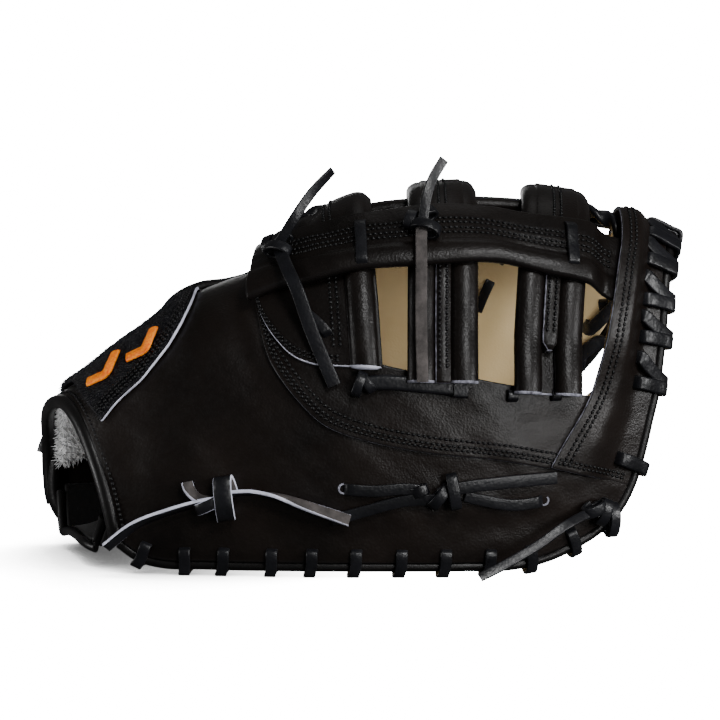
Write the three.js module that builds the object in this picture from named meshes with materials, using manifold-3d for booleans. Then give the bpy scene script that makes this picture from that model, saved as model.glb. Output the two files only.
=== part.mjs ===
import * as THREE from 'three';
import { mergeVertices } from 'three/addons/utils/BufferGeometryUtils.js';
import Module from 'manifold-3d';

const wasm = await Module();
wasm.setup();

// A first baseman mitt for the left hand, standing on its laced rims with the back of the hand up.
// Millimetres. X runs from the wrist to the finger tips, -Y is the thumb side, Z is up.

// Driving sizes
const mittLength = 333;
const crestHeight = 184.5;
const halfWidth = 78;
const backFullness = 0.22;
const palmFullness = 0.35;
const rimTuck = 0.14;
const rimTuckHeight = 0.4;
const leather = 2.2;
const seat = 0.3;
const palmThick = 4.2;
const palmEdge = 2.5;
const palmSeat = 1.3;
const palmFlange = 19;
const stallDepth = 6;
const liningThick = 6;
const liningSeat = 3.3;
const liningHem = 2;
const weltRadius = 2.6;
const bindingRadius = 2.5;
const rimRise = 8.5;
const laceWidth = 5;
const laceThick = 1.5;
const holeInset = 6;
const stripWidth = 31.5;
const stripCurl = 4;
const stripLeather = 1.8;
const stripProud = 2;
const stripSunk = 7;
const coreRadius = 4.2;
const railThick = 3.4;
const railRoll = 2.4;
const rollHeight = 3.4;
const tailWidth = 6.5;
const ridgeDepth = 1.6;
const drape = 1.5;
const edgeDrape = 0.35;
const motifThick = 1.2;

// Layers, as distances out from the base of the back leather
const overBack = leather + seat;
const overCollar = overBack + leather + seat;
const overWebBase = overCollar + leather + seat;
const overStrips = stripProud + 2 * stripCurl + stripLeather / 2 + seat;
const overRail = overStrips + railThick + seat;

// Base form. Columns: along, as a share of mittLength from the wrist; crest, a share of
// crestHeight; thumb and finger, half widths as shares of halfWidth; palm, the arch's height
// as a share of crestHeight.
const form = [
  { along: -0.05, crest: 0.34, thumb: 0.44, finger: 0.58, palm: 0.05 },
  { along: 0.00, crest: 0.412, thumb: 0.50, finger: 0.66, palm: 0.055 },
  { along: 0.02, crest: 0.445, thumb: 0.53, finger: 0.69, palm: 0.06 },
  { along: 0.068, crest: 0.505, thumb: 0.60, finger: 0.75, palm: 0.075 },
  { along: 0.107, crest: 0.56, thumb: 0.66, finger: 0.80, palm: 0.11 },
  { along: 0.15, crest: 0.615, thumb: 0.72, finger: 0.84, palm: 0.17 },
  { along: 0.192, crest: 0.67, thumb: 0.77, finger: 0.88, palm: 0.25 },
  { along: 0.24, crest: 0.742, thumb: 0.81, finger: 0.92, palm: 0.35 },
  { along: 0.32, crest: 0.803, thumb: 0.86, finger: 0.98, palm: 0.53 },
  { along: 0.41, crest: 0.905, thumb: 0.91, finger: 1.03, palm: 0.80 },
  { along: 0.50, crest: 0.977, thumb: 0.93, finger: 1.06, palm: 0.91 },
  { along: 0.626, crest: 1.0, thumb: 0.92, finger: 1.04, palm: 0.93 },
  { along: 0.71, crest: 0.998, thumb: 0.88, finger: 0.98, palm: 0.93 },
  { along: 0.79, crest: 0.984, thumb: 0.80, finger: 0.88, palm: 0.92 },
  { along: 0.86, crest: 0.96, thumb: 0.68, finger: 0.74, palm: 0.90 },
  { along: 0.92, crest: 0.94, thumb: 0.56, finger: 0.60, palm: 0.88 },
  { along: 0.966, crest: 0.918, thumb: 0.46, finger: 0.48, palm: 0.86 },
  { along: 1.03, crest: 0.89, thumb: 0.35, finger: 0.37, palm: 0.83 },
];

function smooth(value) {
  const t = Math.min(1, Math.max(0, value));
  return t * t * (3 - 2 * t);
}

function readForm(column, along) {
  const last = form.length - 1;
  const at = Math.min(Math.max(along, form[0].along), form[last].along);
  let i = 0;
  while (i < last - 1 && form[i + 1].along <= at) i += 1;
  const slope = (k) => {
    const a = form[Math.max(k - 1, 0)];
    const b = form[Math.min(k + 1, last)];
    return (b[column] - a[column]) / (b.along - a.along);
  };
  const span = form[i + 1].along - form[i].along;
  const t = (at - form[i].along) / span;
  return (2 * t ** 3 - 3 * t ** 2 + 1) * form[i][column] + (t ** 3 - 2 * t ** 2 + t) * span * slope(i)
    + (-2 * t ** 3 + 3 * t ** 2) * form[i + 1][column] + (t ** 3 - t ** 2) * span * slope(i + 1);
}

// One arch of the mitt at x: v runs from 0 at the thumb's floor over 1 at the crest to 2.
function archPoint(x, v, crest, thumb, finger, fullness) {
  const angle = v * Math.PI / 2;
  const sine = Math.sin(angle);
  const cosine = Math.cos(angle);
  const z = crest * sine * (1 + fullness * cosine * cosine);
  const low = Math.max(0, 1 - z / (rimTuckHeight * crestHeight));
  const width = (v <= 1 ? thumb : finger) * (1 + fullness * sine * sine) * (1 - rimTuck * low * low);
  return new THREE.Vector3(x, -width * cosine, z);
}

function backBase(x, v) {
  const along = x / mittLength + 0.5;
  return archPoint(x, v, readForm('crest', along) * crestHeight, readForm('thumb', along) * halfWidth,
    readForm('finger', along) * halfWidth, backFullness);
}

function offsetOf(base) {
  return (x, v, out) => {
    const du = base(x + 0.5, v).sub(base(x - 0.5, v));
    const dv = base(x, v + 0.004).sub(base(x, v - 0.004));
    const normal = du.cross(dv).normalize();
    return { point: base(x, v).addScaledVector(normal, out), normal };
  };
}

const back = offsetOf(backBase);

// Finds v for a height on the thumb side (-1) or the finger side (1).
function archShare(x, z, side) {
  const crest = readForm('crest', x / mittLength + 0.5) * crestHeight;
  let low = 0;
  let high = 1;
  for (let i = 0; i < 30; i += 1) {
    const middle = (low + high) / 2;
    const sine = Math.sin(middle * Math.PI / 2);
    const cosine = Math.cos(middle * Math.PI / 2);
    if (crest * sine * (1 + backFullness * cosine * cosine) < z) low = middle;
    else high = middle;
  }
  return side < 0 ? low : 2 - low;
}

// A border through rows of [along, up, side], smooth in x and v; up is a share of crestHeight.
const archSpan = 150;

function border(rows) {
  const points = rows.map(([along, up, side]) => {
    const x = (along - 0.5) * mittLength;
    return new THREE.Vector3(x, archShare(x, up * crestHeight, side) * archSpan, 0);
  });
  const curve = new THREE.CatmullRomCurve3(points, false, 'centripetal');
  curve.arcLengthDivisions = 400;
  return (t) => {
    const p = curve.getPointAt(Math.min(1, Math.max(0, t)));
    return { x: p.x, v: p.y / archSpan };
  };
}

const near = -1;
const far = 1;
const rimUp = rimRise / crestHeight;

// Borders of the whole mitt, as rows of [along, up, side]
const thumbRimRows = [[0.133, 0.096, near], [0.161, 0.062, near], [0.199, 0.046, near],
  [0.26, rimUp, near], [0.48, rimUp, near], [0.66, rimUp, near], [0.715, 0.046, near],
  [0.768, 0.063, near], [0.817, 0.1, near], [0.856, 0.143, near], [0.88, 0.188, near],
  [0.897, 0.243, near]];
const thumbTipRows = [[0.897, 0.243, near], [0.907, 0.295, near], [0.915, 0.345, near],
  [0.925, 0.42, near], [0.935, 0.495, near], [0.946, 0.65, near], [0.95, 0.738, near],
  [0.955, 0.82, near], [0.962, 0.885, near], [0.969, 1, near]];
const fingerTipRows = [[0.969, 1, far], [0.96, 0.885, far], [0.946, 0.82, far],
  [0.925, 0.76, far], [0.908, 0.71, far], [0.886, 0.63, far], [0.862, 0.565, far],
  [0.835, 0.5, far], [0.815, 0.4, far], [0.8, 0.3, far]];
const fingerRimRows = [[0.8, 0.3, far], [0.78, 0.2, far], [0.75, 0.12, far], [0.705, 0.065, far],
  [0.65, rimUp, far], [0.4, rimUp, far], [0.16, rimUp, far], [0.07, rimUp, far],
  [0.035, 0.055, far], [0.014, 0.1, far]];
const wristThumbRows = [[0.133, 0.096, near], [0.126, 0.159, near], [0.116, 0.232, near],
  [0.096, 0.338, near], [0.083, 0.389, near], [0.065, 0.437, near], [0.044, 0.461, near],
  [0.022, 1, near]];
const wristFingerRows = [[0.022, 1, far], [0.006, 0.4, far], [0.002, 0.31, far],
  [0.001, 0.22, far], [0.004, 0.15, far], [0.014, 0.1, far]];
const wristPalmRows = [[0.133, 0.096, near], [0.12, 0.2, near], [0.085, 0.4, near],
  [0.058, 1, near], [0.034, 0.4, far], [0.017, 0.2, far], [0.014, 0.1, far]];

// A closed sheet over a grid, from its outer and inner points.
function closedSheet(columns, rows, outerAt, innerAt) {
  const positions = [];
  const index = [];
  const stride = rows + 1;
  const layerSize = (columns + 1) * stride;
  [outerAt, innerAt].forEach((at) => {
    for (let i = 0; i <= columns; i += 1) {
      for (let j = 0; j <= rows; j += 1) positions.push(...at(i / columns, j / rows).toArray());
    }
  });
  const quad = (a, b, c, d) => index.push(a, b, c, a, c, d);
  for (let i = 0; i < columns; i += 1) {
    for (let j = 0; j < rows; j += 1) {
      const a = i * stride + j;
      quad(a, a + stride, a + stride + 1, a + 1);
      quad(a + layerSize, a + 1 + layerSize, a + stride + 1 + layerSize, a + stride + layerSize);
    }
  }
  const wall = (a, b) => quad(b, a, a + layerSize, b + layerSize);
  for (let i = 0; i < columns; i += 1) {
    wall(i * stride, (i + 1) * stride);
    wall((i + 1) * stride + rows, i * stride + rows);
  }
  for (let j = 0; j < rows; j += 1) {
    wall(j + 1, j);
    wall(columns * stride + j, columns * stride + j + 1);
  }
  return solidFrom(positions, index);
}

// Makes a solid of a closed mesh and turns it right side out.
function solidFrom(positions, index) {
  const corner = (k) => new THREE.Vector3().fromArray(positions, 3 * index[k]);
  let volume = 0;
  for (let k = 0; k < index.length; k += 3) {
    volume += corner(k).dot(corner(k + 1).cross(corner(k + 2)));
  }
  const turned = [];
  for (let k = 0; k < index.length; k += 3) {
    if (volume > 0) turned.push(index[k], index[k + 1], index[k + 2]);
    else turned.push(index[k], index[k + 2], index[k + 1]);
  }
  return new wasm.Manifold(new wasm.Mesh({
    numProp: 3,
    vertProperties: new Float32Array(positions),
    triVerts: new Uint32Array(turned),
  }));
}

function solidOf(geometry) {
  const bare = geometry.clone();
  bare.deleteAttribute('normal');
  bare.deleteAttribute('uv');
  const merged = mergeVertices(bare, 0.0005);
  return solidFrom(Array.from(merged.attributes.position.array), Array.from(merged.index.array));
}

// A leather panel between four borders, formed over the base with its layers between
// inner(u, s) and outer(u, s).
function panel({ lower, upper, left, right, inner, outer, columns, rows, limit = [0, 2],
  surface = back }) {
  const low = border(lower);
  const high = border(upper);
  const start = left && border(left);
  const end = right && border(right);
  const mix = (a, b, t) => ({ x: a.x + (b.x - a.x) * t, v: a.v + (b.v - a.v) * t });
  const place = (u, s) => {
    const p = mix(low(u), high(u), s);
    [[start, 1 - u, mix(low(0), high(0), s)], [end, u, mix(low(1), high(1), s)]]
      .forEach(([side, share, chord]) => {
        if (!side) return;
        p.x += share * (side(s).x - chord.x);
        p.v += share * (side(s).v - chord.v);
      });
    p.v = Math.min(limit[1], Math.max(limit[0], p.v));
    return p;
  };
  const layer = (depth) => (u, s) => {
    const p = place(u, s);
    return surface(p.x, p.v, depth(u, s)).point;
  };
  return closedSheet(columns, rows, layer(outer), layer(inner));
}

const level = (value) => () => value;
const thumbLimit = [0, 0.996];
const fingerLimit = [1.004, 2];

// A strip swept along stations of { point, normal }, with a profile of [across, out] corners.
function sweep(stations, profile) {
  const positions = [];
  const index = [];
  const count = profile.length;
  stations.forEach((station, i) => {
    const before = stations[Math.max(i - 1, 0)].point;
    const after = stations[Math.min(i + 1, stations.length - 1)].point;
    const along = station.along || after.clone().sub(before).normalize();
    const across = along.clone().cross(station.normal).normalize();
    const out = across.clone().cross(along).normalize();
    profile.forEach(([a, b]) => {
      positions.push(...station.point.clone().addScaledVector(across, a)
        .addScaledVector(out, b).toArray());
    });
  });
  for (let i = 0; i < stations.length - 1; i += 1) {
    for (let k = 0; k < count; k += 1) {
      const a = i * count + k;
      const b = i * count + (k + 1) % count;
      index.push(a, b, b + count, a, b + count, a + count);
    }
  }
  const last = (stations.length - 1) * count;
  const outline = profile.map(([a, b]) => new THREE.Vector2(a, b));
  const caps = THREE.ShapeUtils.triangulateShape(outline, []);
  const clockwise = THREE.ShapeUtils.isClockWise(outline);
  caps.forEach(([a, b, c]) => {
    if (clockwise) index.push(a, b, c, last + a, last + c, last + b);
    else index.push(a, c, b, last + a, last + b, last + c);
  });
  return solidFrom(positions, index);
}

function flat(width, thick) {
  return [[-width / 2, -thick / 2], [width / 2, -thick / 2], [width / 2, thick / 2],
    [-width / 2, thick / 2]];
}

// A flat lace over the back, through rows of [along, up, proud] on one side; proud is in mm.
function laceOver(rows, width, out, side = near) {
  const stations = rows.map(([along, up, proud]) => {
    const x = (along - 0.5) * mittLength;
    return back(x, archShare(x, up * crestHeight, side), out + laceThick / 2 + proud);
  });
  return sweep(stations, flat(width, laceThick));
}

// A round section as a polygon with so many sides
function ring(radius, sides) {
  return new THREE.Shape(Array.from({ length: sides }, (_, k) => {
    const angle = 2 * Math.PI * (k + 0.5) / sides;
    return new THREE.Vector2(radius * Math.cos(angle), radius * Math.sin(angle));
  }));
}

// A round piece along a border of the base, at a distance out and down from it.
function roundAlong(rows, radius, out, down, steps, sides, surface = back) {
  const line = border(rows);
  const points = [];
  for (let i = 0; i <= steps; i += 1) {
    points.push(rimFrame(line, i / steps, out, down, surface).point);
  }
  const curve = new THREE.CatmullRomCurve3(points, false, 'centripetal');
  return solidOf(new THREE.ExtrudeGeometry(ring(radius, sides), { steps, bevelEnabled: false,
    extrudePath: curve }));
}

// The frame at share t of a border: out is the surface's normal, down points off the edge.
function rimFrame(line, t, out, down, surface = back) {
  const step = 0.004;
  const a = line(Math.max(0, t - step));
  const b = line(Math.min(1, t + step));
  const tangent = surface(b.x, b.v, 0).point.sub(surface(a.x, a.v, 0).point).normalize();
  const at = line(t);
  const base = surface(at.x, at.v, 0);
  const away = tangent.clone().cross(base.normal).normalize();
  const point = base.point.clone().addScaledVector(base.normal, out).addScaledVector(away, down);
  return { point, normal: base.normal, away, tangent };
}

// Rim lacing: each turn leaves a hole, runs down the front, round the welt and up inside.
// Columns: pitch, a share of the step to the next hole; out and down from the leather's edge;
// turn, the lace's face in degrees from the front.
const laceFront = leather + 2 * seat + laceThick / 2;
const laceBack = -palmSeat - palmEdge - 10 * seat - laceThick / 2;
const laceLow = 6 * seat + 2 * weltRadius + laceThick / 2;
const weltDown = 2 * seat + weltRadius;
const turns = [
  { pitch: 0, out: laceFront - 0.4, down: -holeInset, turn: -45 },
  { pitch: 0, out: laceFront + 0.4, down: weltDown, turn: 15 },
  { pitch: 0, out: laceFront - 0.3, down: laceLow - 1, turn: 50 },
  { pitch: 0.02, out: -seat, down: laceLow, turn: 90 },
  { pitch: 0.06, out: laceBack + 0.3, down: laceLow - 1, turn: 130 },
  { pitch: 0.16, out: laceBack - 0.4, down: weltDown, turn: 165 },
  { pitch: 0.95, out: laceBack - 0.1, down: -holeInset + 1.5, turn: 190 },
  { pitch: 1, out: laceBack + 1.2, down: -holeInset, turn: 235 },
];

function rimLace(rows, shares, lastShare) {
  const line = border(rows);
  const stations = [];
  shares.forEach((share, k) => {
    const next = k + 1 < shares.length ? shares[k + 1] : lastShare;
    turns.slice(0, k + 1 < shares.length ? turns.length : turns.length - 2).forEach((row) => {
      const frame = rimFrame(line, share + (next - share) * row.pitch, row.out, row.down);
      const angle = row.turn * Math.PI / 180;
      const normal = frame.normal.clone().multiplyScalar(Math.cos(angle))
        .addScaledVector(frame.away, Math.sin(angle));
      stations.push({ point: frame.point, normal });
    });
  });
  return sweep(stations, flat(laceWidth, laceThick));
}

// Punches for the lace's holes, through backs and palm
function rimPunches(rows, shares) {
  const line = border(rows);
  return shares.map((share) => {
    const frame = rimFrame(line, share, laceFront / 2 + laceBack / 2, -holeInset);
    const box = new THREE.BoxGeometry(laceWidth + 2 * seat, laceThick + 4 * seat, 14);
    const turned = new THREE.Matrix4().makeBasis(frame.tangent, frame.away,
      frame.tangent.clone().cross(frame.away)).setPosition(frame.point);
    return solidOf(box.applyMatrix4(turned));
  });
}

function shareAtAlong(rows, along) {
  const line = border(rows);
  let low = 0;
  let high = 1;
  for (let i = 0; i < 30; i += 1) {
    const middle = (low + high) / 2;
    if (line(middle).x < (along - 0.5) * mittLength) low = middle;
    else high = middle;
  }
  return low;
}

const evenShares = (count, from, to) => Array.from({ length: count },
  (_, k) => from + (to - from) * k / (count - 1));

const thumbHoles = [0.168, 0.232, 0.29, 0.363, 0.423, 0.489, 0.557, 0.623, 0.689, 0.752, 0.81,
  0.85].map((along) => shareAtAlong(thumbRimRows, along));
const tipRows = [...thumbTipRows, ...fingerTipRows.slice(1)];
const tipHoles = evenShares(9, 0.07, 0.94);
const fingerHoles = evenShares(10, 0.05, 0.93);

// Palm: the padded piece inside, an arch that stands off the backs and joins them at the rim.
function palmBase(x, v) {
  const along = x / mittLength + 0.5;
  const inset = 1 - rimTuck;
  const arch = archPoint(x, v, readForm('palm', along) * crestHeight,
    readForm('thumb', along) * halfWidth * inset - stallDepth,
    readForm('finger', along) * halfWidth * inset - stallDepth, palmFullness);
  const edge = back(x, v, -palmSeat - palmEdge / 2).point;
  const rise = smooth((edge.z - rimRise - palmFlange) / 38);
  const tip = smooth((tipReach(v) - x - palmFlange) / 38);
  return edge.lerp(arch, rise * tip);
}

const thumbTipLine = border(thumbTipRows);
const fingerTipLine = border(fingerTipRows);

function tipReach(v) {
  const line = v < 1 ? thumbTipLine : fingerTipLine;
  let best = line(0);
  for (let i = 1; i <= 40; i += 1) {
    const p = line(i / 40);
    if (Math.abs(p.v - v) < Math.abs(best.v - v)) best = p;
  }
  return best.x;
}

const palmSurface = offsetOf(palmBase);

function palmLayer(sign) {
  return (u, s) => {
    const fromRim = Math.min(s, 1 - s, 1 - u) * 12 - 1;
    return sign * (palmEdge + (palmThick - palmEdge) * smooth(fromRim)) / 2;
  };
}

const webWindowRows = [[0.405, 0.66], [0.42, 0.57], [0.47, 0.545], [0.583, 0.53], [0.71, 0.5],
  [0.815, 0.462], [0.845, 0.5], [0.862, 0.6], [0.876, 0.72], [0.888, 0.84], [0.892, 1.2],
  [0.405, 1.2]];
const webWindowFar = 20;

function webWindow() {
  const shape = new THREE.Shape(webWindowRows.map(([along, up]) => new THREE.Vector2(
    (along - 0.5) * mittLength, up * crestHeight)));
  const block = new THREE.ExtrudeGeometry(shape, { depth: 2 * halfWidth + webWindowFar,
    bevelEnabled: false, steps: 1 });
  return solidOf(block.rotateX(Math.PI / 2).translate(0, webWindowFar, 0));
}

function makePalm() {
  const whole = panel({
    lower: thumbRimRows, upper: fingerRimRows.slice().reverse(), right: tipRows,
    left: wristPalmRows,
    inner: palmLayer(-1), outer: palmLayer(1), columns: 17, rows: 12, surface: palmSurface,
  });
  return whole.subtract(webWindow());
}

// Backs of the two halves
function makeThumbBack() {
  return panel({
    lower: thumbRimRows, left: wristThumbRows,
    upper: [[0.022, 1, near], [0.1, 1, near], [0.2, 1, near], [0.3, 1, near], [0.338, 0.775, near],
      [0.358, 0.68, near], [0.378, 0.6, near], [0.405, 0.54, near], [0.445, 0.475, near],
      [0.504, 0.42, near], [0.6, 0.382, near], [0.707, 0.36, near], [0.76, 0.335, near],
      [0.79, 0.298, near], [0.85, 0.268, near], [0.897, 0.243, near]],
    inner: level(0), outer: level(leather), columns: 16, rows: 7, limit: thumbLimit,
  });
}

const fingerTopRows = [[0.022, 1, far], [0.1, 1, far], [0.2, 1, far], [0.325, 1, far],
  [0.372, 0.835, far], [0.43, 0.825, far], [0.5, 0.85, far], [0.62, 0.865, far], [0.75, 0.855, far],
  [0.84, 0.815, far], [0.875, 0.79, far], [0.925, 0.757, far]];

function fingerRidges(u, s) {
  const fade = smooth(u * 5 - 1) * smooth((1 - u) * 5) * smooth(s * 5) * smooth((1 - s) * 5);
  return -ridgeDepth * fade * Math.abs(Math.cos(s * 4 * Math.PI)) ** 6;
}

function makeFingerBack() {
  return panel({
    lower: fingerRimRows.slice().reverse(), upper: fingerTopRows,
    left: wristFingerRows.slice().reverse(),
    right: [...fingerTipRows.slice(3)].reverse(),
    inner: fingerRidges, outer: (u, s) => leather + fingerRidges(u, s),
    columns: 14, rows: 12, limit: fingerLimit,
  });
}

// Bands that carry the web
function makeThumbCollar() {
  return panel({
    lower: [[0.342, 0.722, near], [0.351, 0.65, near], [0.363, 0.587, near], [0.392, 0.511, near],
      [0.431, 0.437, near], [0.462, 0.405, near], [0.505, 0.381, near], [0.553, 0.362, near],
      [0.614, 0.345, near], [0.705, 0.327, near], [0.778, 0.302, near], [0.79, 0.299, near]],
    upper: [[0.35, 0.755, near], [0.362, 0.7, near], [0.378, 0.662, near], [0.4, 0.632, near],
      [0.43, 0.61, near], [0.47, 0.6, near], [0.51, 0.592, near], [0.527, 0.578, near],
      [0.583, 0.557, near], [0.655, 0.543, near], [0.71, 0.524, near], [0.778, 0.505, near],
      [0.853, 0.482, near]],
    inner: level(overBack), outer: level(overBack + leather), columns: 18, rows: 4,
  });
}

function makeFingerBand() {
  return panel({
    lower: [[0.4, 0.72, far], [0.5, 0.755, far], [0.62, 0.77, far], [0.75, 0.76, far],
      [0.86, 0.71, far]],
    upper: [[0.4, 0.81, far], [0.5, 0.85, far], [0.62, 0.865, far], [0.75, 0.855, far],
      [0.86, 0.8, far]],
    inner: level(overBack), outer: level(overBack + leather), columns: 12, rows: 2,
  });
}

// Web
function webRoll(u) {
  return Math.exp(-(((u - 0.91) / 0.062) ** 2));
}

function leftRoll(u, s) {
  return Math.exp(-(((u - 0.56) / 0.07) ** 2)) * smooth((s - 0.42) * 8) * smooth((0.95 - s) * 8);
}

function makeWebBase() {
  const bulge = (u, s) => rollHeight * Math.max(webRoll(u), 0.9 * leftRoll(u, s));
  return panel({
    lower: [[0.345, 0.735, near], [0.354, 0.69, near], [0.37, 0.648, near], [0.394, 0.605, near],
      [0.422, 0.583, near], [0.466, 0.577, near], [0.526, 0.573, near]],
    upper: [[0.35, 0.82, far], [0.42, 0.83, far], [0.48, 0.845, far], [0.515, 0.85, far]],
    left: [[0.345, 0.735, near], [0.342, 0.78, near], [0.345, 1, near], [0.35, 0.82, far]],
    right: [[0.526, 0.573, near], [0.521, 0.72, near], [0.516, 0.84, near], [0.513, 1, near],
      [0.515, 0.85, far]],
    inner: (u, s) => overCollar - 3.6 * bulge(u, s) / rollHeight * smooth((s - 0.12) * 12)
      * smooth((0.9 - s) * 12),
    outer: (u, s) => overCollar + leather + bulge(u, s), columns: 16, rows: 9,
  });
}

// Profile of a web strip whose two long edges are curled back over it
function curledProfile() {
  const half = stripWidth / 2 - stripCurl;
  const rightSide = [];
  for (let k = 0; k <= 4; k += 1) {
    const angle = (-90 + 270 * k / 4) * Math.PI / 180;
    rightSide.push({ across: half, out: stripCurl, angle });
  }
  const arc = (radius) => rightSide.map(({ across, out, angle }) => [
    across + radius * Math.cos(angle), out + radius * Math.sin(angle)]);
  const outside = arc(stripCurl + stripLeather / 2);
  const inside = arc(stripCurl - stripLeather / 2);
  const mirrored = (points) => points.map(([a, b]) => [-a, b]).reverse();
  return [...outside, ...inside.slice().reverse(), ...mirrored(inside.slice().reverse()),
    ...mirrored(outside)];
}

function makeWebStrip(footAlong, topAlong, farAlong) {
  const stations = [];
  const count = 11;
  for (let i = 0; i <= count; i += 1) {
    const s = i / count;
    const footX = (footAlong - 0.5) * mittLength;
    const v = archShare(footX, 0.487 * crestHeight, near) * (1 - s)
      + archShare((farAlong - 0.5) * mittLength, 0.79 * crestHeight, far) * s;
    const along = v < 1 ? footAlong + (topAlong - footAlong) * smooth(v)
      : topAlong + (farAlong - topAlong) * smooth(v - 1);
    const x = (along - 0.5) * mittLength;
    const z = backBase(x, v).z;
    let out = -stripSunk + (stripProud + stripSunk) * smooth((z - 0.58 * crestHeight) / 44);
    if (v > 1) out = stripProud + (overCollar + drape + stripLeather / 2 - stripProud) * smooth((v - 1) * 4.5);
    stations.push(back(x, v, out));
  }
  return sweep(stations, curledProfile());
}

function makeWebCore() {
  const points = [0.47, 0.56, 0.65, 0.74, 0.82, 0.885].map((along) => back(
    (along - 0.5) * mittLength, 1, stripProud - stripLeather / 2 - seat - coreRadius).point);
  return solidOf(new THREE.ExtrudeGeometry(ring(coreRadius, 8), { steps: 12, bevelEnabled: false,
    extrudePath: new THREE.CatmullRomCurve3(points) }));
}

function makeWebRail() {
  const lift = (u) => {
    const start = overWebBase + (overStrips - overWebBase) * smooth((u - 0.08) * 6);
    return start + (overCollar - start) * smooth((u - 0.898) * 14.5);
  };
  return panel({
    lower: [[0.339, 0.728, near], [0.373, 0.757, near], [0.43, 0.78, near], [0.499, 0.812, near],
      [0.574, 0.823, near], [0.637, 0.831, near], [0.7, 0.831, near], [0.773, 0.802, near],
      [0.826, 0.78, near], [0.873, 0.738, near]],
    upper: [[0.352, 0.84, near], [0.39, 0.866, near], [0.437, 0.89, near], [0.487, 0.918, near],
      [0.533, 0.932, near], [0.599, 0.945, near], [0.68, 0.943, near], [0.734, 0.929, near],
      [0.792, 0.918, near], [0.852, 0.9, near], [0.887, 0.885, near]],
    inner: lift,
    outer: (u, s) => lift(u) + (railThick + railRoll * Math.exp(-(((s - 0.12) / 0.13) ** 2)))
      * (1 - 0.4 * smooth((u - 0.898) * 14.5)),
    columns: 18, rows: 5,
  });
}

// The tip panel lies over the collar and the rail's end at its left, and on nothing at the rim.
function tipLift(u, s) {
  const overRailEnd = 1.6 * railThick * smooth((s - 0.12) * 9) * smooth((0.7 - s) * 5);
  return (overCollar + seat + overRailEnd) * (1 - smooth((u - 0.3) / 0.5));
}

function makeTipPanel() {
  return panel({
    lower: [[0.776, 0.306, near], [0.813, 0.289, near], [0.858, 0.268, near],
      [0.897, 0.246, near]],
    upper: [[0.876, 0.8, far], [0.925, 0.768, far]],
    left: [[0.776, 0.306, near], [0.829, 0.47, near], [0.84, 0.52, near], [0.858, 0.676, near],
      [0.866, 0.748, near], [0.874, 0.822, near], [0.882, 0.878, near], [0.888, 1, near],
      [0.884, 0.88, far], [0.876, 0.8, far]],
    right: [...thumbTipRows, ...fingerTipRows.slice(1, 4)],
    inner: tipLift, outer: (u, s) => leather + tipLift(u, s), columns: 7, rows: 14,
  });
}

// Wrist: the strap stands off the back a little and is sewn down at its edges.
function makeWristStrap() {
  const stand = (u, s) => overBack + drape * (edgeDrape + (1 - edgeDrape)
    * smooth(4 * Math.min(s, 1 - u)));
  return panel({
    lower: [[0.108, 0.412, near], [0.134, 0.469, near], [0.167, 0.521, near],
      [0.189, 0.571, near], [0.216, 0.633, near], [0.236, 0.697, near], [0.247, 1, near]],
    upper: [[0.03, 0.36, far], [0.08, 0.42, far], [0.13, 0.5, far], [0.18, 0.58, far],
      [0.235, 0.66, far]],
    left: [[0.108, 0.412, near], [0.085, 0.452, near], [0.058, 0.486, near], [0.04, 1, near],
      [0.022, 0.44, far], [0.03, 0.36, far]],
    right: [[0.247, 1, near], [0.243, 0.72, far], [0.235, 0.66, far]],
    inner: stand, outer: (u, s) => stand(u, s) + leather, columns: 10, rows: 12,
  });
}

// Raised motif of the strap: plain chevrons in satin stitch, each at its shift along the strap
const chevronShifts = [0.035, 0.085];

function makeStrapChevron(shift) {
  const rows = [[0.063, 0.462], [0.075, 0.472], [0.087, 0.483], [0.094, 0.505], [0.1, 0.528]];
  const stations = rows.map(([along, up]) => nearPlace(along + shift, up + 1.15 * shift,
    overCollar + drape + motifThick / 2 + 0.4));
  return sweep(stations, flat(tailWidth, motifThick));
}

function makeWristLining() {
  const backing = (u) => -liningSeat + liningHem * (1 - smooth(4 * u));
  const wave = (u, s) => -liningSeat - liningThick * (0.82 + 0.18 * Math.cos(s * 19) * Math.cos(u * 9));
  return panel({
    lower: [[0.12, 0.24, near], [0.2, 0.28, near], [0.28, 0.36, near]],
    upper: [[0.008, 0.26, far], [0.12, 0.3, far], [0.24, 0.36, far]],
    left: [[0.12, 0.24, near], [0.101, 0.338, near], [0.088, 0.389, near], [0.07, 0.437, near],
      [0.049, 0.461, near], [0.03, 1, near], [0.013, 0.4, far], [0.008, 0.26, far]],
    right: [[0.28, 0.36, near], [0.27, 1, near], [0.24, 0.36, far]],
    inner: wave, outer: backing, columns: 9, rows: 14,
  });
}

function makeWristBinding() {
  const farEnd = [0.007, 0.128, far];
  const rows = [...wristThumbRows, ...wristFingerRows.slice(1, -1), farEnd];
  return roundAlong(rows.slice().reverse(), bindingRadius, leather / 2, bindingRadius + 2 * seat,
    30, 6);
}

// The palm's edge at the wrist, bound like the backs; it stops short of the welt at both heels.
function makeHeelBinding() {
  const line = border(wristPalmRows);
  const points = evenShares(14, 0.1, 0.9).map((t) => rimFrame(line, t, 0,
    -bindingRadius - 2 * seat, palmSurface).point);
  return solidOf(new THREE.ExtrudeGeometry(ring(bindingRadius, 6), { steps: 16, bevelEnabled: false,
    extrudePath: new THREE.CatmullRomCurve3(points, false, 'centripetal') }));
}

function makeRimWelt() {
  const rows = [...thumbRimRows, ...thumbTipRows.slice(1), ...fingerTipRows.slice(1),
    ...fingerRimRows.slice(1)];
  return roundAlong(rows, weltRadius, -seat, weltDown, 48, 6);
}

// Knots and loose laces. A knot is a short thick turn of lace across its tail.
function nearPlace(along, up, out) {
  const x = (along - 0.5) * mittLength;
  return back(x, archShare(x, up * crestHeight, near), out);
}

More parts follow.
